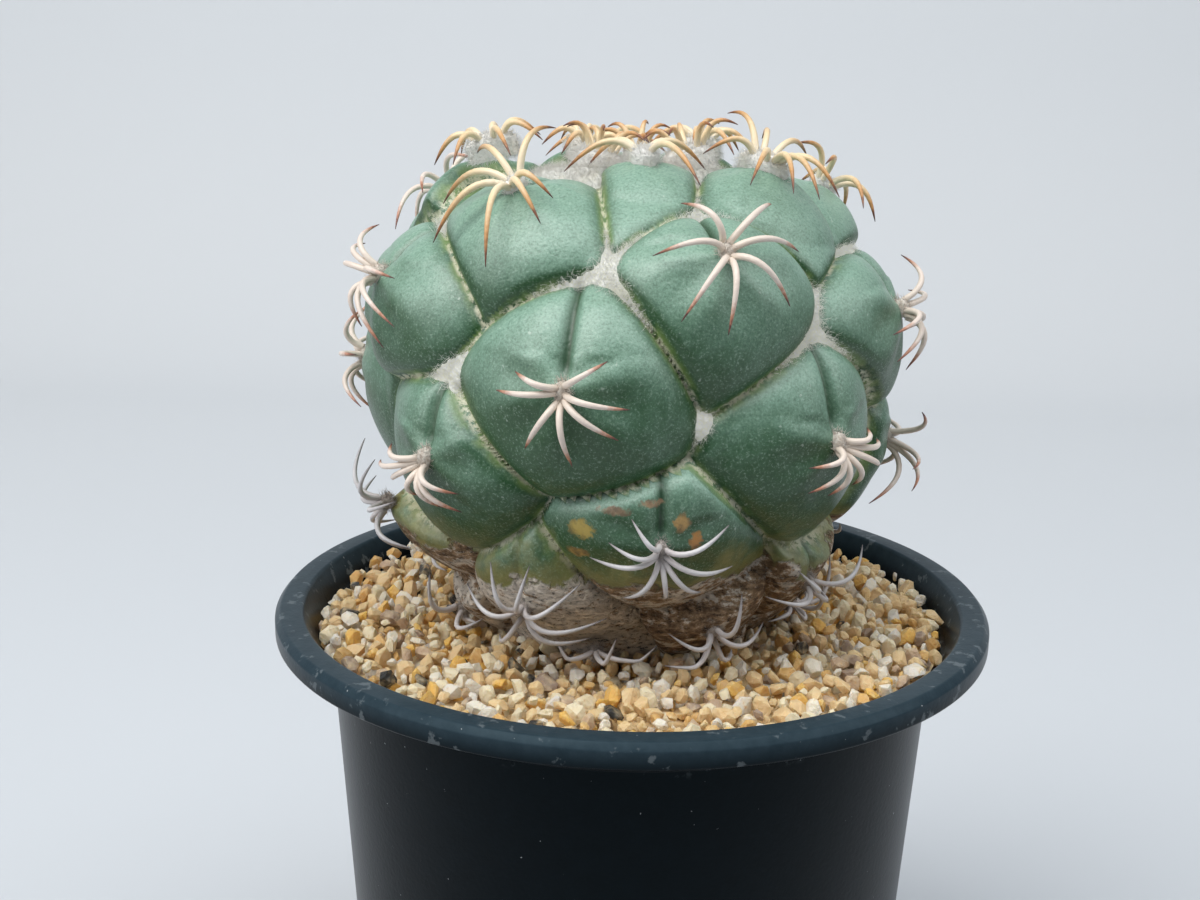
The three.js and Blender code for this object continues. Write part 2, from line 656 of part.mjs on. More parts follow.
// Lifts a spine's points clear of the skin and the gravel.
function bentClear(line, tubercle) {
  const { x, y, z } = tubercle.out;
  const push = new THREE.Vector3(x, y, Math.max(z, 0)).normalize();
  return line.map((point, k) => {
    if (k === 0) return point;
    const raised = point.clone();
    for (let pass = 0; pass < 3; pass += 1) {
      raised.z = Math.max(raised.z, STONE_TOPS + SPINE_RADIUS);
      const short = SPINE_RADIUS + 2 * GAP - clearOfSkin(raised);
      if (short > 0) raised.addScaledVector(push, OVERSHOOT * short);
    }
    return raised;
  });
}

// Whether a spine's line keeps off the skin between its bends too.
function keepsOffSkin(line) {
  return line.slice(2).every((point, k) => (
    clearOfSkin(new THREE.Vector3().lerpVectors(line[k + 1], point, 0.5)) > 0.7 * SPINE_RADIUS + GAP));
}

const padSize = (number) => (number < 5 ? 2.9 : number < 22 ? 2.3 : 2.0);
const spineReach = (number) => SPINE_REACH * (number < 4 ? 0.78 + 0.05 * number : number < 10 ? 1.12 : 1);

// Heading and reach of each spine of a head, in order round it: the recorded ones, or an even star.
function starOf(number) {
  const draw = seededDraws(700 + number);
  const varied = () => SCATTER * (draw() - 0.5);
  const even = Array.from({ length: SPINES }, (_, k) => (
    [(360 * (k + varied())) / SPINES, spineReach(number) * (1 + varied())]));
  const star = HEADINGS[number] ?? even;
  return star.map(([heading, reach, raised = 0]) => ({ turn: radians(heading), reach, raised }));
}

// Chooses the spines of every head, oldest first, so that no spine touches another head.
function placeSpines() {
  const heads = new Map();
  const taken = [];
  const blocked = (line, number) => taken.some((spine) => (
    spine.number !== number && distanceBetween(line, spine.line) < 2 * SPINE_RADIUS + GAP));
  const onPad = (line, number) => TUBERCLES.some((other) => (
    other.number !== number && line.some((point) => (
      point.distanceTo(other.point) < padSize(other.number) + SPINE_RADIUS + GAP))));
  const inCrown = (line) => line.some((point) => (
    point.distanceTo(CROWN_CENTRE) < CROWN_WOOL + 2 * SPINE_RADIUS));
  const flat = (line) => line.some((point, i) => i > 0 && point.distanceTo(line[i - 1]) < SPINE_RADIUS);
  for (const tubercle of TUBERCLES.slice().reverse()) {
    const { number } = tubercle;
    if (number > OLDEST_WITH_SPINES || number < YOUNGEST_WITH_PAD) continue;
    const spines = starOf(number).map(({ turn, reach, raised }) => {
      const ways = SPINE_TRIES.map(([swing, shorter, higher]) => bentClear(
        spineLine(tubercle, turn + swing, reach * shorter, raised, SPINE_ARCH * higher),
        tubercle,
      ));
      const line = ways.find((way) => (
        !blocked(way, number) && !onPad(way, number) && !inCrown(way) && !flat(way) && keepsOffSkin(way)));
      if (line) taken.push({ number, line });
      return { turn, line };
    });
    heads.set(number, spines);
  }
  return heads;
}

// A flattened ball of felt or wool on the skin, as long along `up` as it is wide across.
function feltBall(centre, { side, up, out }, wide, tall, thick, detail) {
  const ball = new THREE.IcosahedronGeometry(1, detail);
  const axes = new THREE.Matrix4().makeBasis(
    side.clone().multiplyScalar(wide),
    up.clone().multiplyScalar(tall),
    out.clone().multiplyScalar(thick),
  );
  return ball.applyMatrix4(axes.setPosition(centre));
}

// The facets round a pad's side: one for each spine, and a bare one in each wide gap.
function padFacets(spines) {
  const facets = [];
  spines.forEach((spine, k) => {
    const next = spines[(k + 1) % spines.length];
    const ahead = next.turn - spine.turn + (k + 1 === spines.length ? 2 * Math.PI : 0);
    facets.push(spine);
    if (ahead > radians(WIDEST_FACET)) facets.push({ turn: spine.turn + ahead / 2 });
  });
  return facets.map((facet, k) => {
    const last = facets[(k + facets.length - 1) % facets.length];
    const before = last.turn - (k === 0 ? 2 * Math.PI : 0);
    return { ...facet, edge: (before + facet.turn) / 2 };
  });
}

// A felt pad with a spine growing out of the facets round its side; a spine that found no free
// way is left out.
function headGeometry(centre, { side, up, out }, size, spines, spineRadius) {
  const points = [];
  const faces = [];
  const add = (point) => points.push(point) - 1;
  const facets = padFacets(spines);
  const ring = (radius, height) => facets.map(({ edge }) => add(centre.clone()
    .addScaledVector(side, radius * Math.sin(edge))
    .addScaledVector(up, -radius * Math.cos(edge))
    .addScaledVector(out, height)));
  const top = add(centre.clone().addScaledVector(out, 0.75 * size));
  const upper = ring(0.6 * size, 0.6 * size);
  const lower = ring(size, 0);
  const foot = add(centre.clone());
  facets.forEach(({ line }, k) => {
    const next = (k + 1) % facets.length;
    faces.push(top, upper[k], upper[next]);
    faces.push(upper[k], lower[next], upper[next]);
    faces.push(foot, lower[next], lower[k]);
    let row = [upper[k], lower[k], lower[next]];
    if (!line) {
      faces.push(...row);
      return;
    }
    for (const corners of spineRows(line, out, spineRadius)) {
      const outer = corners.map(add);
      for (let c = 0; c < 3; c += 1) {
        const d = (c + 1) % 3;
        faces.push(row[c], row[d], outer[d], row[c], outer[d], outer[c]);
      }
      row = outer;
    }
    const tip = add(line[line.length - 1]);
    for (let c = 0; c < 3; c += 1) faces.push(row[c], row[(c + 1) % 3], tip);
  });
  const geometry = new THREE.BufferGeometry().setFromPoints(points);
  geometry.setIndex(faces);
  geometry.computeVertexNormals();
  return geometry;
}

// How far out along `out` the stem's facets reach under a pad, so that the pad can rest on them.
function seatHeight({ point, side, up, out }, size, stem) {
  const start = (radius, turn) => point.clone()
    .addScaledVector(side, radius * Math.sin(turn))
    .addScaledVector(up, -radius * Math.cos(turn))
    .addScaledVector(out, SEAT_SEARCH);
  const inward = out.clone().negate();
  const samples = [start(0, 0)];
  for (let k = 0; k < 2 * SPINES; k += 1) {
    samples.push(start(size, (Math.PI * k) / SPINES), start(0.5 * size, (Math.PI * k) / SPINES));
  }
  const hits = samples.flatMap((from) => new THREE.Raycaster(from, inward).intersectObject(stem).slice(0, 1));
  return Math.max(...hits.map((hit) => SEAT_SEARCH - hit.distance));
}

function spineHead(tubercle, spines, stem) {
  const size = padSize(tubercle.number);
  const centre = tubercle.point.clone().addScaledVector(tubercle.out, GAP + seatHeight(tubercle, size, stem));
  const head = headGeometry(centre, tubercle, size, spines, SPINE_RADIUS);
  const reachesStones = tubercle.point.z < STONE_TOPS + 3;
  if (!reachesStones) return head;
  const stones = new THREE.BoxGeometry(200, 200, 20).translate(0, 0, STONE_TOPS - 10);
  return toGeometry(largestPiece(toSolid(head).subtract(toSolid(stones))));
}

// The deepest place of the corner between a tubercle and the two above it, where wool grows.
function woolCorner(number) {
  const around = [0, -5, -8].map((step) => TUBERCLES[number + step - YOUNGEST]);
  const middle = new THREE.Vector3();
  around.forEach((tubercle) => middle.addScaledVector(tubercle.point, 1 / 3));
  const azimuth = Math.atan2(middle.x, -middle.y);
  const s = around.reduce((sum, tubercle) => sum + tubercle.s / 3, 0);
  let corner = { depth: -Infinity };
  for (let turn = -8; turn <= 8; turn += 1) {
    for (let shift = -6; shift <= 6; shift += 1) {
      const here = place(azimuth + radians(turn), s + shift);
      const depth = skinDepth(here.point);
      if (depth > corner.depth) corner = { ...here, depth, azimuth: azimuth + radians(turn) };
    }
  }
  return corner;
}

function axilWool(number, skinCut) {
  const { point, out, depth, azimuth } = woolCorner(number);
  const side = new THREE.Vector3(Math.cos(azimuth), Math.sin(azimuth), 0);
  const up = new THREE.Vector3().crossVectors(out, side);
  const centre = point.clone().addScaledVector(out, WOOL_RISE - depth);
  const patch = feltBall(centre, { side, up, out }, WOOL_WIDE, WOOL_TALL, WOOL_THICK, 0);
  return toGeometry(largestPiece(toSolid(patch).subtract(skinCut)));
}

// The woolly crown, with the first short spines of the tubercles that are still inside it.
function crownWool(skinCut) {
  const upright = {
    side: new THREE.Vector3(1, 0, 0),
    up: new THREE.Vector3(0, 1, 0),
    out: new THREE.Vector3(0, 0, 1),
  };
  const draw = seededDraws(5);
  const spines = Array.from({ length: SPINES }, (_, k) => {
    const turn = (2 * Math.PI * k) / SPINES;
    const reach = 1 + SCATTER * draw();
    const line = CROWN_STATIONS.map((t) => new THREE.Vector3(
      CROWN_WOOL * reach * t * Math.sin(turn),
      -CROWN_WOOL * reach * t * Math.cos(turn),
      CROWN_SPINE_RISE * Math.sin(0.65 * Math.PI * t),
    ).add(CROWN_CENTRE));
    return { turn, line };
  });
  const mound = headGeometry(CROWN_CENTRE, upright, CROWN_WOOL * 0.8, spines, 0.7 * SPINE_RADIUS);
  return toGeometry(largestPiece(toSolid(mound).subtract(skinCut)));
}

// ---- Assembly -----------------------------------------------------------------------------
const group = new THREE.Group();
const plant = new THREE.Group();
plant.position.set(PLANT_OFFSET, 0, POT_HEIGHT);
group.add(plant);

function addPiece(parent, name, geometry, material) {
  const mesh = new THREE.Mesh(geometry, material);
  mesh.name = name;
  parent.add(mesh);
}

const twoDigits = (number) => String(number).padStart(2, "0");
const skinCut = toSolid(bodyGeometry(GAP));
const stem = new THREE.Mesh(bodyGeometry(), MATERIALS.skin);

addPiece(group, "pot", potGeometry(), MATERIALS.pot);
addPiece(group, "soil", soilGeometry(), MATERIALS.soil);
addPiece(group, "gravel", gravelGeometry(), MATERIALS.gravel);
addPiece(plant, "cactus_body", stem.geometry, MATERIALS.skin);
addPiece(plant, "crown_wool", crownWool(skinCut), MATERIALS.wool);
for (const number of WOOLLY) {
  addPiece(plant, `axil_wool_${twoDigits(number)}`, axilWool(number, skinCut), MATERIALS.wool);
}
for (const [number, spines] of placeSpines()) {
  const tubercle = TUBERCLES[number - YOUNGEST];
  const age = number < 8 ? MATERIALS.youngSpine : number < 21 ? MATERIALS.spine : MATERIALS.oldSpine;
  addPiece(plant, `spine_head_${twoDigits(number)}`, spineHead(tubercle, spines, stem), age);
}

export default group;
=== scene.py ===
# %% [markdown]
# # A round cactus in a black nursery pot
#
# The object is a tubercled cactus, as wide as a fist, in a black plastic pot with a top dressing of
# quartz gravel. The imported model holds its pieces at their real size. This lesson dresses them: it
# makes the skin, spines, wool and stones at the fineness of the real ones, and their finishes.
#
# Plant sizes are in millimetres, as a grower would measure them, and become metres when a mesh is
# made. The plant's own heights count from the top of the pot's rim.

import json
import math

import bmesh
import bpy
import numpy as np
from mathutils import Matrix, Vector

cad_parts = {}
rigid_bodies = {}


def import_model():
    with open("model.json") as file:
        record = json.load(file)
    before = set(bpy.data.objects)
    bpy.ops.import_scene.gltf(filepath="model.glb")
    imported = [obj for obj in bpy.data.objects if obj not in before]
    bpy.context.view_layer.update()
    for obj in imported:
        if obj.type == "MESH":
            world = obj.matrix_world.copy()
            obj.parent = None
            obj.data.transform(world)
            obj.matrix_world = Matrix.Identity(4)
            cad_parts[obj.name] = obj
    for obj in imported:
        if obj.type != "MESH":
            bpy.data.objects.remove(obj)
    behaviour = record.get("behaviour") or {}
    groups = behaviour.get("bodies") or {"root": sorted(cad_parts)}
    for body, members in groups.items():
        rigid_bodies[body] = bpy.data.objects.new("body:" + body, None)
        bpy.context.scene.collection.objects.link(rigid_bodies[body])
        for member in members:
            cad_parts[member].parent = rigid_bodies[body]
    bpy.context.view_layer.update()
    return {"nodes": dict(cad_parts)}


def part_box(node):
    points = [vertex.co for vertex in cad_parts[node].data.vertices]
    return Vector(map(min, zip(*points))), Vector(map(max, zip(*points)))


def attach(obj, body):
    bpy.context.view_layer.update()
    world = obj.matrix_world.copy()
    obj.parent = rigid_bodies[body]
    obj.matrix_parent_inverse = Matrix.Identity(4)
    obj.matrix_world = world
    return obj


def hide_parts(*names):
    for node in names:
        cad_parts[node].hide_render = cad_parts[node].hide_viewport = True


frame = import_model()

MM = 0.001
pot_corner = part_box("pot")[1]
RIM_RADIUS = pot_corner.x / MM
POT_HEIGHT = pot_corner.z / MM
PLANT_OFFSET = -1.3  # the plant stands a little to the left of the pot's centre
print(f"rim radius {RIM_RADIUS:.1f} mm, pot height {POT_HEIGHT:.1f} mm, {len(frame['nodes'])} nodes")

# %% [markdown]
# ## Camera
#
# The picture looks down on the plant by about 15 degrees from a forearm's length away. The camera
# comes first, because everything after it is judged through it.

# %% Camera
CAMERA_PLACE = (0.0, -0.28715, 0.2129)
CAMERA_PITCH = 15.10  # degrees below the horizon
CAMERA_YAW = -1.24
CAMERA_ROLL = 0.905
CAMERA_LENS = 49.2  # on a sensor 36 mm wide


def make_camera():
    camera = bpy.data.objects.new("camera", bpy.data.cameras.new("camera"))
    bpy.context.scene.collection.objects.link(camera)
    camera.data.lens = CAMERA_LENS
    camera.data.sensor_width = 36
    camera.data.clip_start = 0.01
    camera.location = CAMERA_PLACE
    camera.rotation_mode = "XYZ"
    camera.rotation_euler = (math.radians(90 - CAMERA_PITCH), 0, 0)
    bpy.context.view_layer.update()
    turn = camera.matrix_world.to_3x3()
    yaw = math.radians(CAMERA_YAW)
    pitch = math.radians(CAMERA_PITCH)
    ahead = np.array([math.sin(yaw) * math.cos(pitch), math.cos(yaw) * math.cos(pitch), -math.sin(pitch)])
    right = np.cross(ahead, [0, 0, 1])
    right /= np.linalg.norm(right)
    above = np.cross(right, ahead)
    roll = math.radians(CAMERA_ROLL)
    right, above = (math.cos(roll) * right + math.sin(roll) * above,
                    -math.sin(roll) * right + math.cos(roll) * above)
    for row in range(3):
        turn[row] = (right[row], above[row], -ahead[row])
    camera.rotation_euler = turn.to_euler()
    bpy.context.scene.camera = camera
    return camera


camera = make_camera()
print("camera at", tuple(round(x, 3) for x in camera.location))

# %% [markdown]
# ## Tools for meshes and node trees
#
# Small helpers keep the node trees readable. `add` makes a node and feeds its sockets in one
# line, `step` goes straight on to its output, and `dress` runs a Geometry Nodes tree on an object
# and keeps its result as a plain mesh. A modifier would stay live and slow, and the hand-over needs
# real geometry.

# %% Helpers for node trees
def add(tree, kind, feeds=None, **settings):
    """Adds a node. feeds gives a socket, by name or number, a value or the socket that feeds it."""
    node = tree.nodes.new(kind)
    for key, value in settings.items():
        setattr(node, key, value)
    for key, value in (feeds or {}).items():
        if isinstance(value, bpy.types.NodeSocket):
            tree.links.new(value, node.inputs[key])
        else:
            node.inputs[key].default_value = value
    return node


def step(tree, kind, feeds=None, **settings):
    """Adds a node and gives its first output."""
    return add(tree, kind, feeds, **settings).outputs[0]


def joined(tree, *parts):
    whole = add(tree, "GeometryNodeJoinGeometry")
    for part in parts:
        tree.links.new(part, whole.inputs[0])
    return whole.outputs[0]


def any_number(tree, low, high, seed):
    """A random number for each point."""
    feeds = {2: low, 3: high, "Seed": seed}
    return add(tree, "FunctionNodeRandomValue", feeds, data_type="FLOAT").outputs[1]


def any_turn(tree, most, seed):
    """Random turns round three axes for each point, in radians either way."""
    feeds = {0: [-angle for angle in most], 1: most, "Seed": seed}
    return step(tree, "FunctionNodeRandomValue", feeds, data_type="FLOAT_VECTOR")


# %% Helpers for meshes
def mesh_object(name, points, faces, smooth=True):
    """A mesh at the origin, from points in millimetres of the part's frame."""
    mesh = bpy.data.meshes.new(name)
    mesh.from_pydata((np.asarray(points) * MM).tolist(), [], faces)
    mesh.validate()
    if smooth:
        mesh.shade_smooth()
    piece = bpy.data.objects.new(name, mesh)
    bpy.context.scene.collection.objects.link(piece)
    return piece


def give_attribute(mesh, name, values):
    layer = mesh.attributes.new(name, "FLOAT", "POINT")
    layer.data.foreach_set("value", np.asarray(values, np.float32).ravel())


def dress(piece, tree, **values):
    """Runs a Geometry Nodes tree on a piece and keeps the result as its plain mesh."""
    modifier = piece.modifiers.new("tree", "NODES")
    modifier.node_group = tree
    for item in tree.interface.items_tree:
        if item.in_out == "INPUT" and item.name in values:
            modifier[item.identifier] = values[item.name]
    graph = bpy.context.evaluated_depsgraph_get()
    plain = bpy.data.meshes.new_from_object(
        piece.evaluated_get(graph), preserve_all_data_layers=True, depsgraph=graph)
    piece.modifiers.remove(modifier)
    old = piece.data
    piece.data = plain
    if isinstance(old, bpy.types.Mesh):
        bpy.data.meshes.remove(old)
    return piece


# %% Start and end of a tree
def geometry_tree(name, **inputs):
    """A tree with the named inputs, and its two end nodes."""
    tree = bpy.data.node_groups.new(name, "GeometryNodeTree")
    tree.interface.new_socket("Geometry", in_out="INPUT", socket_type="NodeSocketGeometry")
    for label, value in inputs.items():
        kind = {float: "Float", int: "Int", type(None): "Material"}.get(type(value))
        kind = kind or value.__name__
        socket = tree.interface.new_socket(label, in_out="INPUT", socket_type=f"NodeSocket{kind}")
        if kind in ("Float", "Int"):
            socket.default_value = value
    tree.interface.new_socket("Geometry", in_out="OUTPUT", socket_type="NodeSocketGeometry")
    start = add(tree, "NodeGroupInput")
    end = add(tree, "NodeGroupOutput")
    return tree, start.outputs, end


def finish_tree(tree, geometry, material, end):
    """Ends a tree: real geometry with its material."""
    real = step(tree, "GeometryNodeRealizeInstances", {"Geometry": geometry})
    made = step(tree, "GeometryNodeSetMaterial", {"Geometry": real, "Material": material})
    tree.links.new(made, end.inputs[0])


# %% [markdown]
# ## Tools for finishes
#
# Every finish is a tree of noises, ramps and mixes in the object's own coordinates, so it needs no
# picture and stays put however the part is turned. These helpers each make one such step.

# %% Helpers for finishes
def finish_of(name, roughness=0.5, **constants):
    """A new material: its tree and its shader. Constants go straight on the shader's sockets."""
    material = bpy.data.materials.new(name)
    material.use_nodes = True
    tree = material.node_tree
    shader = tree.nodes["Principled BSDF"]
    shader.inputs["Roughness"].default_value = roughness
    for key, value in constants.items():
        shader.inputs[key.replace("_", " ")].default_value = value
    return material, tree, shader


def ramp(tree, factor, *stops, mode="LINEAR"):
    """A colour ramp through (position, (r, g, b)) stops."""
    node = add(tree, "ShaderNodeValToRGB", {"Fac": factor})
    node.color_ramp.interpolation = mode
    while len(node.color_ramp.elements) < len(stops):
        node.color_ramp.elements.new(0.5)
    for element, (position, colour) in zip(node.color_ramp.elements, stops):
        element.position = position
        element.color = (*colour, 1)
    return node.outputs["Color"]


def mix(tree, factor, first, second):
    """Mixes two colours, each a socket or an (r, g, b)."""
    node = add(tree, "ShaderNodeMix", data_type="RGBA")
    for index, value in ((0, factor), (6, first), (7, second)):
        if isinstance(value, bpy.types.NodeSocket):
            tree.links.new(value, node.inputs[index])
        else:
            node.inputs[index].default_value = (*value, 1) if index > 0 else value
    return node.outputs[2]


def maths(tree, operation, first, second=0.0, clamp=False):
    node = add(tree, "ShaderNodeMath", {0: first, 1: second}, operation=operation, use_clamp=clamp)
    return node.outputs[0]


def swing(tree, value, amount, middle=0.5):
    """Turns a value round its middle, such as a noise, into a swing about zero."""
    return maths(tree, "MULTIPLY", maths(tree, "SUBTRACT", value, middle), amount)


def span(tree, value, low, high, to_low=0.0, to_high=1.0):
    """Maps a value smoothly from one range to another."""
    feeds = {"Value": value, "From Min": low, "From Max": high, "To Min": to_low, "To Max": to_high}
    return add(tree, "ShaderNodeMapRange", feeds, interpolation_type="SMOOTHSTEP").outputs[0]


def own_place(tree):
    """The place of a point in the object's own coordinates."""
    return add(tree, "ShaderNodeTexCoord").outputs["Object"]


# %% Noise, bumps and draws
def noise(tree, scale, detail=4.0, roughness=0.5, where=None):
    """Noise in the object's own coordinates. scale is in features per millimetre."""
    where = where or own_place(tree)
    feeds = {"Vector": where, "Scale": scale / MM, "Detail": detail, "Roughness": roughness}
    return add(tree, "ShaderNodeTexNoise", feeds).outputs[0]


def bump(tree, height, distance, strength=1.0):
    """A bump of a height socket. distance is in millimetres."""
    feeds = {"Height": height, "Distance": distance * MM, "Strength": strength}
    return add(tree, "ShaderNodeBump", feeds).outputs[0]


def attribute(tree, name):
    return add(tree, "ShaderNodeAttribute", attribute_name=name).outputs["Fac"]


def seeded_draws(seed):
    """The same run of draws from 0 to 1 every time."""
    state = seed
    while True:
        state = (state * 16807) % 2147483647
        yield state / 2147483647


def smooth_step(low, high, x):
    t = np.clip((x - low) / (high - low), 0, 1)
    return t * t * (3 - 2 * t)

# %% [markdown]
# ## The plant's form
#
# The real plant is one grown body. Its tubercles stand in a spiral, each about 137.5 degrees round
# from the last, which is the angle by which most plants set their leaves. Sculpting forty domes by
# hand would hide that rule, so the form is a formula: a smooth outline that every tip touches, and
# the depth of the skin under it. Every place belongs to the tubercle that reaches it best from its
# foot. So the tubercles fill the surface like cells, with straight creases between them, and each
# rolls over into the crease where it meets the next.

# %% Plant dimensions
GIRTH_RADIUS, GIRTH_HEIGHT = 48.4, 42.9
CROWN_RISE, CROWN_POWER = 39.8, 2.6
BASE_DROP, BASE_POWER = 54.6, 2.0
NECK_HEIGHT = -9.0  # below this the stem narrows into its root
DIMPLE_DEPTH, DIMPLE_RADIUS = 4.0, 13.0
ROOT = [(13, -15), (10.5, -24), (7.5, -34), (4, -42), (0, -45.6)]

GOLDEN_ANGLE = 137.508
FRONT_TUBERCLE, FRONT_ANGLE = 14, -11.7
YOUNGEST, OLDEST = -4, 38
FLATTER_BELOW = (19, 22)  # from the first to the second of these, tubercles turn wide and low
AGEING = (24, 31)  # and from here to here they shrink and lose their furrow
LEAST_HALF_WIDTH, LEAST_SPACING = 3.2, 1.6
# tubercle number, and how far its tip lies from the crown's centre along the surface
SPIRAL = [(-5, 0), (-3, 4.5), (0, 12.5), (4, 24.7), (9, 44.8), (14, 66.6), (22, 91.5), (30, 113.8), (38, 131)]
# tubercles that grew out of line: degrees round the plant, and millimetres down it
STRAYED = {
    1: (6, 0), 3: (0, 2.5), 4: (10, 0), 6: (-5, -1), 11: (-2, 0), 12: (5, 1.5), 17: (3.5, 1),
    19: (2, -1.5), 22: (-1, 1), 24: (4, -1.5), 25: (-9, 6), 27: (-1, 3), 30: (-3, 0),
    32: (-6, 0), 35: (-5, -2),
}
TIP_LIFT = {3: 1.8}
# tubercles whose bulk grew to one side: millimetres along the plant's turn and upward, and how much
# further it reaches than usual
BULK = {
    1: (-3.3, 4.7, 15.6), 3: (8.1, -1.6, 16.2), 4: (-1.9, 3.7, 11.3), 6: (-9.6, 9.6, 15.5),
    7: (-9.0, 17.0, 8.4), 9: (4.0, 11.5, 0.4), 11: (1.4, 21.3, 9.2), 12: (-0.8, 5.1, 0.6),
    14: (-4.2, 10.8, -10.2), 17: (10.9, -2.1, 4.2), 19: (-6.1, -3.4, -8.8), 22: (4.1, -16.3, 5.0),
    24: (5.5, -14.8, -4.7), 25: (2.6, -1.2, 0.6), 27: (7.3, -8.4, 7.7), 30: (-6.1, 2.1, 8.7),
}
FULL_HALF_WIDTH = 15.5
PEAK, TIP_ROUND, TIP_CUT = 2.0, 0.03, 0.17  # how far a full tubercle falls from its tip: as a blunt cone,
DOME, DOME_POWER, WIDEST_DOME = 1.4, 2.4, 1.3  # and as a dome round its middle
FOOT_OFFSET = 0.3  # how far its foot sits below its tip, in half widths
EDGE_DEPTH, EDGE_ROLL = 1.5, 1.25  # its edges roll over into the creases
SLIT_DEPTH, SLIT_WIDTH = 1.0, 0.3
BLEND, DEEPEST = 0.5, 8.0
# the furrow above an areole: a sharp groove in a wider hollow, depth in mm and width in half widths
GROOVE_DEPTH, GROOVE_WIDTH = 1.3, 0.05
HOLLOW_DEPTH, HOLLOW_WIDTH = 0.9, 0.2
RIDGES, RIDGE_HEIGHT = 6, 0.32  # low ridges that run down from an areole
RIDGES_AT, RIDGES_WIDTH = 0.55, 0.28  # where they are highest, in half widths from the tip
# how pale the bark of a tubercle is, from 0 to 1
BARK_TONES, USUAL_BARK = {22: 0.5, 27: 1.0, 30: 0.1, 32: 0.8, 35: 0.45}, 0.3
print(f"{OLDEST - YOUNGEST + 1} tubercles on the spiral")


# %% [markdown]
# The outline runs from the crown's centre over the widest place down to the root. A drawn curve
# would do as well, but two half ovals with a small dimple need only a few numbers to be fitted.

# %% Outline of the tips' surface
def plant_outline():
    """Radius and height from the crown's centre down to the root's end."""
    outline = []
    for angle in np.pi / 2 - np.linspace(0, 1, 901) * np.pi * 0.93:
        upper = angle >= 0
        power = CROWN_POWER if upper else BASE_POWER
        radius = GIRTH_RADIUS * abs(math.cos(angle)) ** (2 / power)
        rise = abs(math.sin(angle)) ** (2 / power)
        height = GIRTH_HEIGHT + (CROWN_RISE if upper else -BASE_DROP) * rise
        if height < NECK_HEIGHT:
            break
        dimple = DIMPLE_DEPTH * math.exp(-((radius / DIMPLE_RADIUS) ** 2)) if upper else 0
        outline.append((radius, height - dimple))
    return np.array(outline + ROOT)


def even_outline(corners, count=1200, reach=7):
    """The outline at even steps, with its outward direction smoothed."""
    steps = np.hypot(*np.diff(corners, axis=0).T)
    along = np.r_[0, np.cumsum(steps)]
    s = np.linspace(0, along[-1], count + 1)
    points = np.stack([np.interp(s, along, corners[:, k]) for k in (0, 1)], 1)
    before = points[np.clip(np.arange(count + 1) - reach, 0, count)]
    after = points[np.clip(np.arange(count + 1) + reach, 0, count)]
    run, fall = (after - before).T
    outward = np.stack([-fall, run], 1) / np.hypot(run, fall)[:, None]
    return s, points, outward, along


ALONG, OUTLINE, OUTWARD, CORNERS_ALONG = even_outline(plant_outline())
ROOT_STARTS = CORNERS_ALONG[-1 - len(ROOT)]
print(f"outline {ALONG[-1]:.1f} mm long, root from {ROOT_STARTS:.1f} mm")


def turned(azimuth, radius, height):
    x, y = radius * np.sin(azimuth), -radius * np.cos(azimuth)
    return np.stack([x, y, np.broadcast_to(height, x.shape)], -1)


def place(azimuth, s):
    """Points of the tips' surface, their outward directions and their distance from the axis."""
    azimuth, s = np.broadcast_arrays(np.asarray(azimuth, float), np.asarray(s, float))
    radius = np.interp(s, ALONG, OUTLINE[:, 0])
    point = turned(azimuth, radius, np.interp(s, ALONG, OUTLINE[:, 1]))
    out = turned(azimuth, np.interp(s, ALONG, OUTWARD[:, 0]), np.interp(s, ALONG, OUTWARD[:, 1]))
    return point, out / np.linalg.norm(out, axis=-1, keepdims=True), radius


# %% [markdown]
# The spiral sets the places of the tubercles. Those that face the viewer were then fitted one by
# one, because a real plant strays from its rule: some stand out of line, and some bulge sideways.
# The hidden ones keep to the rule.

# %% Tubercles
def spiral_reach(number):
    return np.interp(number, *np.array(SPIRAL).T)


def make_tubercles():
    numbers = np.arange(YOUNGEST, OLDEST + 1)
    strayed = np.array([STRAYED.get(int(n), (0, 0)) for n in numbers])
    azimuth = np.radians(FRONT_ANGLE + GOLDEN_ANGLE * (numbers - FRONT_TUBERCLE) + strayed[:, 0])
    s = spiral_reach(numbers) + strayed[:, 1]
    point, out, radius = place(azimuth, s)
    spacing = np.maximum(spiral_reach(numbers + 0.5) - spiral_reach(numbers - 0.5), LEAST_SPACING)
    half_width = np.maximum(LEAST_HALF_WIDTH, 0.5 * np.sqrt(2 * np.pi * radius * spacing))
    side = np.stack([np.cos(azimuth), np.sin(azimuth), 0 * azimuth], -1)
    up = np.cross(out, side)
    old, low = smooth_step(*AGEING, numbers), smooth_step(*FLATTER_BELOW, numbers)
    bulk = np.array([BULK.get(int(n), (0, 0, 0)) for n in numbers])
    width = half_width * (1 - 0.12 * old)
    middle = point - up * ((FOOT_OFFSET - 0.15 * low) * width)[:, None]
    return {
        "number": numbers, "azimuth": azimuth, "s": s, "point": point, "out": out, "side": side,
        "up": up, "width": width, "squat": 1 + 0.15 * low, "middle": middle,
        "foot": middle + side * bulk[:, :1] + up * bulk[:, 1:2], "reach": width + bulk[:, 2],
        "size": (half_width / FULL_HALF_WIDTH) ** 0.8 * (1 - 0.3 * old),
        "lift": np.array([TIP_LIFT.get(int(n), 0) for n in numbers]),
        "groove": (1 - old) * width / FULL_HALF_WIDTH,
        "bark": np.array([BARK_TONES.get(int(n), USUAL_BARK) for n in numbers]),
    }


TUBERCLES = make_tubercles()
front = TUBERCLES["point"][FRONT_TUBERCLE - YOUNGEST]
print(f"the front tubercle's tip is at {front.round(1)}, the widest is {2 * max(TUBERCLES['width']):.1f} mm")


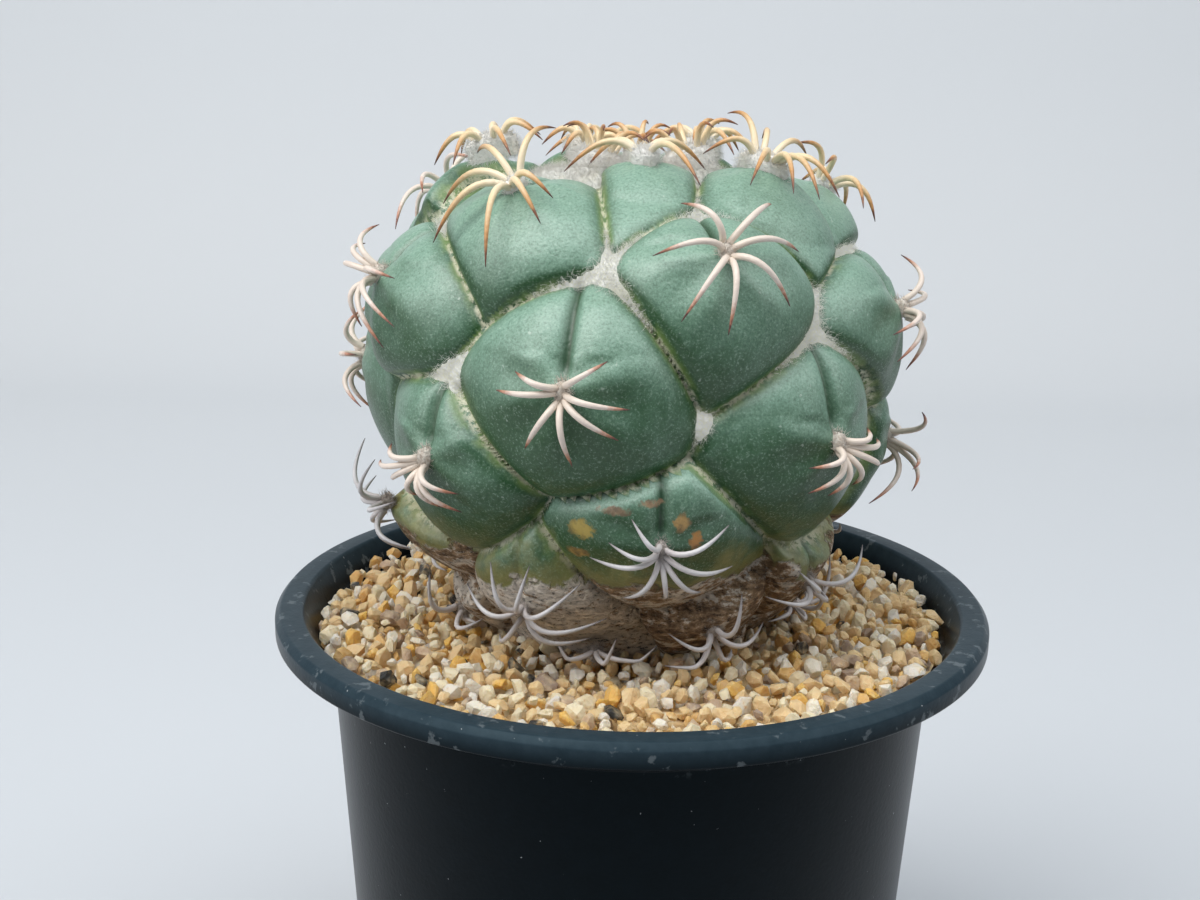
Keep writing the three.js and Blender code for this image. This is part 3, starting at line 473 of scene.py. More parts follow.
def tubercle(number):
    """One tubercle's own values."""
    k = number - YOUNGEST
    return {key: values[k] for key, values in TUBERCLES.items()}


# %% Form of one tubercle
def tubercle_fields(points):
    """For each point and tubercle: fall from the tip, how far beyond its reach, furrow nearness."""
    t = TUBERCLES
    from_tip = points[:, None] - t["point"]
    from_foot = points[:, None] - t["foot"]
    along = {key: np.einsum("pnk,nk->pn", from_foot, t[key]) for key in ("out", "side", "up")}
    to_tip = np.linalg.norm(from_tip, axis=-1) / t["width"]
    beyond = (along["out"] ** 2 + (along["side"] / t["squat"]) ** 2
              + (along["up"] * t["squat"]) ** 2 - t["reach"] ** 2)
    from_middle = np.linalg.norm(points[:, None] - t["middle"], axis=-1) / t["width"]
    fall = (PEAK * (np.sqrt(to_tip ** 2 + TIP_ROUND) - TIP_CUT)
            + DOME * np.minimum(from_middle, WIDEST_DOME) ** DOME_POWER)
    across = np.einsum("pnk,nk->pn", from_tip, t["side"]) / t["width"]
    upward = np.einsum("pnk,nk->pn", from_tip, t["up"]) / t["width"]
    above = smooth_step(-0.02, 0.22, upward) * t["groove"]
    in_groove = np.exp(-(across / GROOVE_WIDTH) ** 2) * above
    furrow = GROOVE_DEPTH * in_groove + HOLLOW_DEPTH * np.exp(-(across / HOLLOW_WIDTH) ** 2) * above
    ridges = (RIDGE_HEIGHT * np.cos(RIDGES * np.arctan2(across, -upward) + t["number"])
              * np.exp(-((to_tip - RIDGES_AT) / RIDGES_WIDTH) ** 2) * (upward < 0.3) * t["groove"])
    return t["size"] * fall - t["lift"] + furrow - ridges, beyond, in_groove


# %% Form of the whole skin
POINTS_AT_ONCE, NEIGHBOURS = 8000, 4


def skin_facts(points):
    """Depth of the skin under the tips' surface, distance from the nearest crease, and more."""
    facts = {key: [] for key in ("depth", "gap", "number", "furrow", "rolled")}
    for part in np.array_split(points, max(1, len(points) // POINTS_AT_ONCE)):
        fall, beyond, in_groove = tubercle_fields(part)
        order = np.argsort(beyond, axis=1)[:, :NEIGHBOURS]
        fall, beyond = (np.take_along_axis(field, order, 1) for field in (fall, beyond))
        feet = TUBERCLES["foot"][order]
        between = np.linalg.norm(feet - feet[:, :1], axis=-1)
        apart = (beyond - beyond[:, :1]) / np.maximum(2 * between, 1)
        share = np.exp(-apart / BLEND)
        share /= share.sum(1)[:, None]
        size = (share * TUBERCLES["size"][order]).sum(1)
        rolled = EDGE_DEPTH * size * np.exp(-apart[:, 1:] / (EDGE_ROLL * size[:, None])).sum(1)
        slit = SLIT_DEPTH * np.exp(-apart[:, 1] / SLIT_WIDTH)
        depth = (share * fall).sum(1) + rolled + slit
        facts["depth"].append(-np.log(np.exp(-depth) + math.exp(-DEEPEST)))
        facts["gap"].append(apart[:, 1])
        facts["rolled"].append(rolled)
        facts["number"].append(TUBERCLES["number"][order[:, 0]])
        facts["furrow"].append(in_groove[np.arange(len(part)), order[:, 0]])
    return {key: np.concatenate(values) for key, values in facts.items()}


BURIED = (120, 132)  # along the outline: here the skin passes into the smooth root


def skin_points(azimuth, s):
    """Points of the skin, in the plant's own frame, and what is known there."""
    point, out, radius = place(azimuth, s)
    shape = point.shape[:-1]
    facts = skin_facts(point.reshape(-1, 3))
    facts = {key: values.reshape(shape) for key, values in facts.items()}
    facts["bark"] = TUBERCLES["bark"][facts["number"] - YOUNGEST]
    buried = smooth_step(*BURIED, np.asarray(s, float) + 0 * radius)
    facts["out"] = out
    return point - out * (facts["depth"] * (1 - buried))[..., None], facts


def in_part(points):
    """From the plant's own frame to the part's."""
    return np.asarray(points) + [PLANT_OFFSET, 0, POT_HEIGHT]


# %% [markdown]
# ## Skin
#
# The skin is one closed surface, as on the plant. A grid of points round and down the form is
# simple and even, and fine enough to hold the narrow creases and furrows. The values that decide
# the colour, such as the distance from a crease and how far down the form a point lies, are stored
# on the mesh.

# %% Skin mesh
SKIN_SIDES, SKIN_ROWS = 440, 214
CROWN_ROW = 1.2  # the first row's distance from the crown's centre


def ringed_faces(rows, sides):
    """Faces of a closed skin over rows of points, with a point at each end."""
    grid = np.arange(rows * sides).reshape(rows, sides)
    beside = np.roll(grid, -1, axis=1)
    quads = np.stack([grid[:-1], grid[1:], beside[1:], beside[:-1]], -1).reshape(-1, 4).tolist()
    first, last = rows * sides, rows * sides + 1
    quads += [[first, int(a), int(b)] for a, b in zip(grid[0], beside[0])]
    quads += [[int(a), last, int(b)] for a, b in zip(grid[-1], beside[-1])]
    return quads


def make_skin():
    azimuth = np.linspace(0, 2 * np.pi, SKIN_SIDES, endpoint=False)
    root = [CORNERS_ALONG[-k] for k in range(len(ROOT), 1, -1)]
    s = np.r_[np.linspace(CROWN_ROW, ROOT_STARTS, SKIN_ROWS), root]
    grid_s, grid_azimuth = np.meshgrid(s, azimuth, indexing="ij")
    points, facts = skin_points(grid_azimuth, grid_s)
    ends, end_facts = skin_points(np.zeros(2), np.array([0, ALONG[-1]]))
    everything = np.concatenate([points.reshape(-1, 3), ends])
    piece = mesh_object("cactus_skin", in_part(everything), ringed_faces(len(s), SKIN_SIDES))
    give_attribute(piece.data, "down", np.r_[grid_s.ravel(), 0, ALONG[-1]])
    for name, key in (("crease", "gap"), ("furrow", "furrow"), ("pale_bark", "bark")):
        give_attribute(piece.data, name, np.r_[facts[key].ravel(), end_facts[key]])
    return piece


skin = make_skin()
print(f"skin: {len(skin.data.polygons)} faces")

# %% [markdown]
# The skin carries marks that no two plants share: old wounds that healed as ochre or cork-brown
# spots. Painting them would need a picture, so each is a small ball in the skin's own coordinates,
# with its edge torn by a noise.

# %% Scars
# centre, half sizes across, along and up, and colour
SCARS = [
    ((-8.2, -43.4, 134.1), (2.3, 3, 1.7), (0.42, 0.30, 0.05)),
    ((-8.7, -41.3, 129.8), (2.0, 3, 0.9), (0.38, 0.22, 0.05)),
    ((7.6, -44.1, 136.0), (1.3, 3, 1.7), (0.50, 0.30, 0.10)),
    ((9.8, -42.5, 132.9), (1.1, 3, 1.7), (0.46, 0.20, 0.04)),
    ((-2.3, -42.4, 137.8), (3.2, 4, 0.9), (0.42, 0.27, 0.16)),
    ((2.6, -42.5, 139.1), (2.2, 4, 0.8), (0.42, 0.27, 0.16)),
    ((-43.0, -11.5, 130.0), (3, 4, 4.5), (0.30, 0.26, 0.06)),
]
SCAR_COVER, SCAR_SHADE = 0.92, 0.35


def scar_shape(tree, centre, half_sizes):
    """How much of a ragged spot lies at a point, from 0 to 1."""
    away = add(tree, "ShaderNodeVectorMath", {0: own_place(tree), 1: [c * MM for c in centre]},
               operation="SUBTRACT").outputs[0]
    scaled = add(tree, "ShaderNodeVectorMath", {0: away, 1: [1 / (MM * h) for h in half_sizes]},
                 operation="MULTIPLY").outputs[0]
    far = add(tree, "ShaderNodeVectorMath", {0: scaled}, operation="LENGTH").outputs["Value"]
    return span(tree, maths(tree, "ADD", far, swing(tree, noise(tree, 0.9, 6, 0.7), 2.2)), 1.15, 0.7)


def scarred(tree, green, mottling):
    for centre, half_sizes, tint in SCARS:
        shade = [SCAR_SHADE * c for c in tint]
        stained = mix(tree, span(tree, mottling, 0.35, 0.62), shade, tint)
        cover = maths(tree, "MULTIPLY", scar_shape(tree, centre, half_sizes), SCAR_COVER)
        green = mix(tree, cover, green, stained)
    return green


# %% [markdown]
# Near the ground the old skin has turned to bark: dry pale flakes on brown, split by dark cracks
# that run round the plant. The noise is read faster upright than sideways, so that flakes and
# cracks lie flat as the real ones do.

# %% Bark
DARK_BARK, MIDDLE_BARK, PALE_BARK = (0.20, 0.115, 0.055), (0.50, 0.33, 0.19), (0.90, 0.81, 0.70)
DRY_FLAKE, BARK_CRACK = (0.90, 0.83, 0.74), (0.035, 0.02, 0.012)


def bark_of(tree, rough, paleness):
    """The bark's colour, and how high it stands."""
    flat = add(tree, "ShaderNodeVectorMath", {0: own_place(tree), 1: (1, 1, 1.9)},
               operation="MULTIPLY").outputs[0]
    flakes = noise(tree, 0.30, 9, 0.72, flat)
    cracks = noise(tree, 0.75, 8, 0.78, flat)
    share = maths(tree, "ADD", flakes, swing(tree, paleness, 0.17, 0.45))
    colour = mix(tree, span(tree, share, 0.36, 0.50), DARK_BARK, MIDDLE_BARK)
    colour = mix(tree, span(tree, share, 0.48, 0.54), colour, PALE_BARK)
    colour = mix(tree, span(tree, rough, 0.55, 0.65, 0, 0.35), colour, DRY_FLAKE)
    colour = mix(tree, span(tree, cracks, 0.455, 0.37, 0, 0.9), colour, BARK_CRACK)
    return colour, maths(tree, "ADD", span(tree, cracks, 0.30, 0.55), maths(tree, "MULTIPLY", share, 1.6))


# %% [markdown]
# The living skin is a waxy bloom over green, peppered with fine specks. Its colour is paler on the
# upper faces and deep green on the steep ones, which is painted light, and deep green beside the
# creases, which is painted shade. Scurf and a yellow-green edge line the creases.

# %% Green skin
DEEP_GREEN, PAINTED_LIT_BLOOM = (0.014, 0.074, 0.016), (0.240, 0.400, 0.305)
PORE, SPECK, DUST = (0.0, 0.02, 0.01), (0.50, 0.64, 0.55), (0.66, 0.74, 0.66)
EDGE_GREEN, SCURF, FURROW_PAINTED_SHADE = (0.26, 0.36, 0.10), (0.72, 0.70, 0.52), (0.012, 0.055, 0.014)


def bloomed_green(tree, crease, fine, mottling):
    normal = add(tree, "ShaderNodeTexCoord").outputs["Normal"]
    upright = add(tree, "ShaderNodeSeparateXYZ", {0: normal}).outputs["Z"]
    patchy = maths(tree, "ADD", swing(tree, noise(tree, 0.07, 4), 0.7), swing(tree, mottling, 0.45))
    # Painted light: upper faces get more of the pale colour and steep ones stay deep green, as light from
    # above would show them.
    bloom_and_painted_light = maths(tree, "ADD", span(tree, upright, -0.32, 0.68), patchy)
    # Painted shade: beside the creases the pale colour is taken away, so they turn deep green.
    bloom_and_painted_light = maths(tree, "SUBTRACT", bloom_and_painted_light, span(tree, crease, 3.4, 0.5, 0, 0.5), clamp=True)
    green = mix(tree, bloom_and_painted_light, DEEP_GREEN, PAINTED_LIT_BLOOM)
    green = mix(tree, span(tree, fine, 0.52, 0.36, 0, 0.55), green, mix(tree, 0.62, green, PORE))
    green = mix(tree, span(tree, fine, 0.52, 0.68, 0, 0.34), green, SPECK)
    return mix(tree, span(tree, noise(tree, 0.9, 2), 0.71, 0.75, 0, 0.3), green, DUST)


def creased_green(tree, green, crease, furrow):
    edge = maths(tree, "MULTIPLY", span(tree, crease, 1.6, 0.3, 0, 0.6),
                 span(tree, noise(tree, 0.3, 3), 0.35, 0.6))
    green = mix(tree, edge, green, EDGE_GREEN)
    scurf = maths(tree, "MULTIPLY", span(tree, crease, 0.7, 0.2, 0, 0.85),
                  span(tree, noise(tree, 0.8, 6, 0.75), 0.44, 0.53))
    green = mix(tree, scurf, green, SCURF)
    # Painted shade: the narrow furrow above an areole is darkened toward deep green.
    return mix(tree, maths(tree, "MULTIPLY", furrow, 0.95), green, FURROW_PAINTED_SHADE)


# %% [markdown]
# The finish puts the layers together: green, creases and scars, then ochre and bark, which climb
# from the ground as the plant ages. One noise makes the borders of both ragged, and the bark is
# dull where the wax shines.

# %% Skin finish
OLIVE, OCHRE = (0.12, 0.11, 0.02), (0.36, 0.33, 0.12)
AGED, BARKED = (94, 103), (101.6, 103.2)  # how far down the skin turns ochre, and turns to bark
SHINE, BARK_ROUGHNESS = 0.36, 0.9


def skin_finish():
    material, tree, shader = finish_of("waxy_green_skin", Specular_IOR_Level=0.7)
    crease, down, furrow, paleness = (
        attribute(tree, name) for name in ("crease", "down", "furrow", "pale_bark"))
    fine, mottling, rough = noise(tree, 2.4, 5, 0.75), noise(tree, 0.45, 4, 0.6), noise(tree, 0.6, 8, 0.75)
    green = creased_green(tree, bloomed_green(tree, crease, fine, mottling), crease, furrow)
    green = scarred(tree, green, mottling)
    bark, bark_height = bark_of(tree, rough, paleness)
    ragged = maths(tree, "ADD", down, swing(tree, noise(tree, 0.11, 7, 0.6), 26))
    green = mix(tree, span(tree, ragged, *AGED, 0, 0.85), green, mix(tree, rough, OLIVE, OCHRE))
    barked = span(tree, ragged, *BARKED)
    tree.links.new(mix(tree, barked, green, bark), shader.inputs["Base Color"])
    tree.links.new(span(tree, barked, 0, 1, SHINE, BARK_ROUGHNESS), shader.inputs["Roughness"])
    grain = maths(tree, "ADD", maths(tree, "MULTIPLY", fine, 0.11), maths(tree, "MULTIPLY", mottling, 0.35))
    relief = maths(tree, "MULTIPLY", bark_height, maths(tree, "MULTIPLY", barked, 1.1))
    tree.links.new(bump(tree, maths(tree, "ADD", grain, relief), 0.6, 0.9), shader.inputs["Normal"])
    return material


skin.data.materials.append(skin_finish())
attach(skin, "root")
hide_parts("cactus_body")
print(f"skin finish: {len(skin.data.materials[0].node_tree.nodes)} nodes, {len(SCARS)} scars")

# %% [markdown]
# ## Spines
#
# Every tubercle ends in an areole, a small felt pad with a star of curved spines. A spine is a
# tapered horn that leaves the pad, arches outward and bends back to the skin. All of them follow
# one rule, so Geometry Nodes sweep them along lines: each line's own thickness tapers to a point.

# %% Spine lines
SPINES = 7
SPINE_REACH, SPINE_ARCH = 11.4, 3.0
SPINE_DROOP = 2.8  # how far a spine has bent down again 12 mm from its root
PAD_SHAPE = (0.3, 0.75)  # where the roots stand on the pad: across and along, in pad sizes
OLDEST_WITH_SPINES = 35
ARCH_SKEW, ARCH_SHARE = 0.75, 0.92  # the arch is highest before its middle, and not quite closed
SPINE_START = 0.5  # a spine starts this far over the skin, inside the felt
LEAST_CLEARANCE, MORE_CLEARANCE = 0.25, 0.9  # over the skin at its root, and added further out
LOWEST_SPINE = 0.05  # on the stones, measured from the rim's top
# The stars that face the front: each spine's heading in degrees, 0 down and 90 right, its reach,
# and how far its tip is raised
HEADINGS = {
    1: [(-135, 11.9), (-94, 13), (29, 15.4), (118, 12.8), (138, 14.5)],
    4: [(-138, 10.9, 1), (-74, 15, 2.5), (-46, 14.5, 2.5), (-29, 15.5, 3), (-8, 15, 3), (79, 12.7, 3.5),
        (118, 12.7, 4), (153, 12.5, 7)],
    6: [(-175, 14.1, 5), (-116, 13.9, 4), (-80, 15.1), (-33, 15.5), (17, 16.9), (55, 12.2), (79, 9.2)],
    7: [(-157, 11.3, 3.5), (-120, 11.3, 3), (-66, 11.4, 1), (-17, 11.5, 1.5), (35, 11), (90, 11)],
    9: [(-153, 10.7), (-93, 11.4), (-41, 13.6), (-9, 13.2), (46, 12.7), (94, 13.4), (132, 15.7)],
    11: [(-130, 11.5, 1.5), (-108, 11.4, 2), (-85, 11.4, 2.5), (3, 9.2), (40, 13.8), (60, 13.2),
         (94, 8.6)],
    12: [(-77, 11.2), (-50, 11.6), (5, 11), (59, 10.5), (96, 11.3, 2), (134, 11.4, 2)],
    14: [(-110, 7.8), (-87, 10.6), (-32, 11.1), (8, 11.8), (51, 11.2), (78, 10.6), (126, 8.5)],
    17: [(-67, 7.6), (-37, 9.5), (-6, 8.9), (34, 10.1), (62, 11.6, 1.5), (82, 11.8), (104, 6.5)],
    19: [(-96, 8.1), (-77, 11.6, 1.5), (-58, 10.4), (-19, 7.3), (21, 8.5), (39, 10.5), (57, 8.6)],
    20: [(-130, 11.4, 4), (-77, 11.4, 4.5), (-54, 11.7, 6), (-34, 13.5, 0.5), (40, 11), (100, 11)],
    22: [(-141, 7.9), (-101, 8.4), (-80, 11.1), (-27, 11.6), (8, 10.2), (37, 12.1), (68, 13), (110, 11.2)],
    25: [(-126, 9), (-88, 11), (60, 10), (129, 11.7, 2.5)],
    27: [(-162, 11), (-106, 10.7), (-40, 11.5, 1.5), (53, 11.8), (83, 13.7), (122, 13.4), (161, 11.6)],
    30: [(-99, 8.7), (-62, 9.6, 3.5), (32, 10.1, 4), (84, 10.4), (170, 10.6)],
    32: [(-118, 10.5), (-35, 9.5), (22, 9.5), (98, 10.5), (172, 10.2)],
    35: [(-139, 8.9), (112, 11.7), (152, 9.8)],
}


def pad_size(number):
    return 2.9 if number < 5 else 2.3 if number < 22 else 2.0


def spine_reach(number):
    return SPINE_REACH * (0.78 + 0.05 * number if number < 4 else 1.12 if number < 10 else 1)


def star_of(number):
    """Heading and reach of each spine of a head: as photographed, or even with some scatter."""
    draw = seeded_draws(700 + number)
    even = []
    for k in range(SPINES):
        heading = 360 * (k + 0.24 * (next(draw) - 0.5)) / SPINES
        even.append((heading, spine_reach(number) * (0.88 + 0.24 * next(draw))))
    return HEADINGS.get(number, even)


print(f"{sum(len(star_of(n)) for n in HEADINGS)} spines of {len(HEADINGS)} heads follow the photo")

# %% Course of a spine
SPINE_STEPS = 14


def spine_line(head, heading, reach, raised):
    """A spine's centre line, kept clear of the skin and the stones."""
    turn = math.radians(heading)
    across, down = math.sin(turn), math.cos(turn)
    t = np.linspace(0, 1, SPINE_STEPS)
    root = pad_size(head["number"]) * (np.array(PAD_SHAPE) * [across, down])
    tip = reach * np.array([across, down])
    run = root + np.outer(t, tip - root)
    rise = (SPINE_START + head["lift"] + SPINE_ARCH * np.sin(np.pi * t ** ARCH_SKEW * ARCH_SHARE)
            + raised * t - SPINE_DROOP * (t * reach / 12) ** 2)
    line = (head["point"] + np.outer(run[:, 0], head["side"]) - np.outer(run[:, 1], head["up"])
            + np.outer(rise, head["out"]))
    return clear_of_skin(line, head)


def over_skin(points):
    """How far points of the plant's frame lie outside the skin."""
    radius = np.hypot(points[:, 0], points[:, 1])
    away = (OUTLINE[:, 0] - radius[:, None]) ** 2 + (OUTLINE[:, 1] - points[:, 2:3]) ** 2
    s = ALONG[np.argmin(away, axis=1)]
    azimuth = np.arctan2(points[:, 0], -points[:, 1])
    skin_there, facts = skin_points(azimuth, s)
    return np.einsum("pk,pk->p", points - skin_there, facts["out"])


def clear_of_skin(line, head):
    """Moves a line outward, never down, until it clears the skin, and upward off the stones."""
    push = head["out"] * [1, 1, head["out"][2] > 0]
    push = push / np.linalg.norm(push)
    t = np.linspace(0, 1, len(line))
    need = LEAST_CLEARANCE + MORE_CLEARANCE * smooth_step(0.1, 0.4, t)
    for _ in range(3):
        line[:, 2] = np.maximum(line[:, 2], LOWEST_SPINE)
        short = np.maximum(need - over_skin(line), 0) * (t > 0.12)
        line = line + np.outer(1.1 * short, push)
    return line


# %% [markdown]
# A head's tree does three jobs in one pass. It sweeps the loose edges into tapered horns, keeps the
# pad's faces, and plants short curled fibres on them, so that the pad looks like felt.

# %% Fibres
def fibre_object(name, length, thickness, curl, bends=3):
    """One curled three-sided hair along Z, to be planted many times."""
    points, faces = [], []
    for k in range(bends):
        t = k / bends
        middle = np.array([curl * length * t * t, 0.3 * curl * length * math.sin(4 * t), length * t])
        size = thickness * (1 - 0.7 * t) / 2
        for corner in range(3):
            angle = 2 * math.pi * corner / 3
            points.append(middle + [size * math.cos(angle), size * math.sin(angle), 0])
    points.append([curl * length, 0.3 * curl * length * math.sin(4), length])
    for k in range(bends - 1):
        for corner in range(3):
            beside = (corner + 1) % 3
            faces.append([3 * k + corner, 3 * k + beside, 3 * k + 3 + beside, 3 * k + 3 + corner])
    top = 3 * (bends - 1)
    faces += [[top + corner, top + (corner + 1) % 3, 3 * bends] for corner in range(3)] + [[2, 1, 0]]
    return mesh_object(name, points, faces)


# %% Tree of a head
FIBRE_LEAN = (0.75, 0.75, 3.14)  # in radians either way, and any way round
SPINE_TAPER = 2.4  # a spine keeps its thickness for long and thins toward its tip


def plant_fibres(tree, ground, start, seed):
    """Instances of the fibre standing on the faces of a mesh, leaning and turned at random."""
    spots = add(tree, "GeometryNodeDistributePointsOnFaces",
                {"Mesh": ground, "Density": start["Fibres_per_mm2"], "Seed": seed})
    turn = step(tree, "FunctionNodeEulerToRotation", {0: any_turn(tree, FIBRE_LEAN, seed + 1)})
    spun = step(tree, "FunctionNodeRotateRotation", {0: spots.outputs["Rotation"], 1: turn},
                rotation_space="LOCAL")
    fibre = add(tree, "GeometryNodeObjectInfo", {"Object": start["Fibre"]}).outputs["Geometry"]
    feeds = {"Points": spots.outputs[0], "Instance": fibre, "Rotation": spun,
             "Scale": any_number(tree, 0.5, 1.3, seed + 2)}
    return step(tree, "GeometryNodeInstanceOnPoints", feeds)


def swept_horns(tree, lines, start):
    """Loose edges as curved horns. How far along it each point lies is kept for the finish."""
    curve = step(tree, "GeometryNodeMeshToCurve", {"Mesh": lines})
    bent = step(tree, "GeometryNodeCurveSplineType", {"Curve": curve}, spline_type="CATMULL_ROM")
    even = step(tree, "GeometryNodeResampleCurve", {"Curve": bent, "Count": start["Steps"]})
    factor = add(tree, "GeometryNodeSplineParameter").outputs["Factor"]
    stored = step(tree, "GeometryNodeStoreNamedAttribute",
                  {"Geometry": even, "Name": "along", "Value": factor}, data_type="FLOAT", domain="POINT")
    taper = step(tree, "ShaderNodeMapRange", {
        "Value": maths(tree, "POWER", factor, SPINE_TAPER),
        "To Min": start["Root_Radius"], "To Max": start["Tip_Radius"]})
    ring = step(tree, "GeometryNodeCurvePrimitiveCircle", {"Resolution": start["Sides"], "Radius": MM})
    swept = step(tree, "GeometryNodeCurveToMesh",
                 {"Curve": stored, "Profile Curve": ring, "Scale": taper, "Fill Caps": True})
    return step(tree, "GeometryNodeSetShadeSmooth", {"Geometry": swept})


def head_tree():
    tree, start, end = geometry_tree(
        "areole_head", Root_Radius=0.8, Tip_Radius=0.05, Sides=8, Steps=14, Fibres_per_mm2=8.0,
        Fibre=bpy.types.Object, Finish=None, Felt=None)
    faces_beside = step(tree, "GeometryNodeInputMeshEdgeNeighbors")
    loose = step(tree, "FunctionNodeCompare", {2: faces_beside, 3: 0}, data_type="INT", operation="EQUAL")
    parts = add(tree, "GeometryNodeSeparateGeometry", {0: start["Geometry"], 1: loose}, domain="EDGE")
    lines, pad = parts.outputs[0], parts.outputs[1]
    horns = step(tree, "GeometryNodeSetMaterial",
                 {"Geometry": swept_horns(tree, lines, start), "Material": start["Finish"]})
    hairs = step(tree, "GeometryNodeRealizeInstances", {"Geometry": plant_fibres(tree, pad, start, 3)})
    felted = step(tree, "GeometryNodeSetMaterial",
                  {"Geometry": joined(tree, pad, hairs), "Material": start["Felt"]})
    real = step(tree, "GeometryNodeRealizeInstances", {"Geometry": joined(tree, horns, felted)})
    tree.links.new(real, end.inputs[0])
    return tree


# %% [markdown]
# Young spines are horn-coloured with dark tips, and old ones weather to grey. The tree kept for
# each point how far along its spine it lies. So one ramp over that value colours a whole spine,
# and a noise shifts it a little, because no two spines turn dark at the same place.

# %% Spine finish
def spine_finish(name, *stops):
    material, tree, shader = finish_of(name, 0.42, Coat_Weight=0.15, Coat_Roughness=0.3)
    along = attribute(tree, "along")
    streak = noise(tree, 1.4, 4)
    shifted = maths(tree, "ADD", along, swing(tree, streak, 0.25))
    tree.links.new(ramp(tree, shifted, *stops), shader.inputs["Base Color"])
    tree.links.new(bump(tree, streak, 0.08), shader.inputs["Normal"])
    return material


YOUNG_SPINE = spine_finish("amber_spine", (0, (0.88, 0.80, 0.64)), (0.4, (0.86, 0.68, 0.42)),
                           (0.72, (0.62, 0.32, 0.12)), (0.88, (0.22, 0.08, 0.04)), (1, (0.05, 0.02, 0.02)))
SPINE = spine_finish("cream_spine", (0, (0.78, 0.68, 0.58)), (0.6, (0.82, 0.70, 0.62)),
                     (0.80, (0.52, 0.24, 0.15)), (0.93, (0.16, 0.05, 0.04)), (1, (0.06, 0.03, 0.03)))
OLD_SPINE = spine_finish("grey_spine", (0, (0.58, 0.53, 0.52)), (0.5, (0.66, 0.64, 0.65)),
                         (0.85, (0.40, 0.38, 0.39)), (1, (0.14, 0.12, 0.12)))

# %% [markdown]
# Wool and felt are the same stuff, white when new, cream later and grey when old. Sheen brightens
# their edges as fine hairs do. Light that passes on inside real wool would take many bounces, so a
# faint glow stands for it in the wool between the tubercles and in the youngest felt.

# %% Wool finish
def wool_finish(name, shade, light, yellow, glow=0.0):
    """Soft fibres. A little glow stands for the light that real wool passes on inside."""
    material, tree, shader = finish_of(name, 0.95, Specular_IOR_Level=0.1, Sheen_Weight=0.5,
                                       Sheen_Roughness=0.6, Emission_Strength=glow)
    clumps = noise(tree, 2.0, 6, 0.7)
    colour = mix(tree, span(tree, clumps, 0.3, 0.6), shade, light)
    colour = mix(tree, span(tree, noise(tree, 0.25, 3), 0.5, 0.75, 0, 0.5), colour, yellow)
    tree.links.new(colour, shader.inputs["Base Color"])
    tree.links.new(colour, shader.inputs["Emission Color"])
    tree.links.new(bump(tree, clumps, 0.45), shader.inputs["Normal"])
    return material


WHITE_FELT = wool_finish("white_felt", (0.90, 0.88, 0.82), (0.97, 0.96, 0.93), (0.92, 0.87, 0.74), 0.05)
CREAM_FELT = wool_finish("cream_felt", (0.60, 0.48, 0.38), (0.86, 0.79, 0.70), (0.55, 0.40, 0.28))
GREY_FELT = wool_finish("grey_felt", (0.26, 0.21, 0.18), (0.48, 0.42, 0.38), (0.3, 0.22, 0.16))
AXIL_WOOL = wool_finish("axil_wool", (0.76, 0.76, 0.64), (0.97, 0.97, 0.92), (0.90, 0.88, 0.72), 0.16)
CROWN_WOOL = wool_finish("crown_wool", (0.80, 0.78, 0.69), (0.94, 0.93, 0.88), (0.86, 0.81, 0.66))

# %% [markdown]
# Now the pads and stars are made, one object for each tubercle, because each grew on its own. A
# head's age decides the finish of its felt and spines, and how thick the spines are.

# %% Pads of felt
HEAD_TREE = head_tree()
FELT_FIBRE = fibre_object("felt_fibre", 1.1, 0.09, 0.5)
PAD_SIDES, PAD_ROWS = 14, 4
CROWN_RAISED = 4.5  # the spines of the youngest areoles stand up out of the crown's wool
AGES = [  # heads before this number: finish of their spines, of their felt, slot, root radius
    (8, YOUNG_SPINE, WHITE_FELT, "young_spine", 0.60),
    (21, SPINE, CREAM_FELT, "spine", 0.56),
    (OLDEST, OLD_SPINE, GREY_FELT, "old_spine", 0.48),
]


def pad_mesh(head, size, length, thick):
    """Points and faces of a rounded felt pad that sits on the skin, closed underneath."""
    azimuth = np.linspace(0, 2 * np.pi, PAD_SIDES, endpoint=False)

    def ring(reach, rise):
        return [head["point"] + reach * (math.cos(a) * head["side"] + length * math.sin(a) * head["up"])
                + (head["lift"] + rise) * head["out"] for a in azimuth]

    rows = [ring(0.25 * size, thick)]
    for k in range(1, PAD_ROWS):
        tilt = math.pi / 2 * (1 - k / PAD_ROWS)
        rows.append(ring(size * math.cos(tilt), thick * math.sin(tilt)))
    rows.append(ring(0.9 * size, -1.2 * length))
    ends = [head["point"] + (head["lift"] + rise) * head["out"] for rise in (1.03 * thick, -1.2)]
    return np.concatenate([np.concatenate(rows), ends]), ringed_faces(len(rows), PAD_SIDES)


# %% Heads of spines
def lines_and_pad(name, lines, pad, pad_faces):
    """One object that holds spine lines as loose edges, and the pad they stand on."""
    points = in_part(np.concatenate([*lines, pad])) * MM
    starts = np.cumsum([0] + [len(line) for line in lines])
    edges = [(k, k + 1) for a, b in zip(starts, starts[1:]) for k in range(a, b - 1)]
    before = int(starts[-1])
    mesh = bpy.data.meshes.new(name)
    mesh.from_pydata(points.tolist(), edges, [[before + k for k in face] for face in pad_faces])
    piece = bpy.data.objects.new(name, mesh)
    bpy.context.scene.collection.objects.link(piece)
    return piece


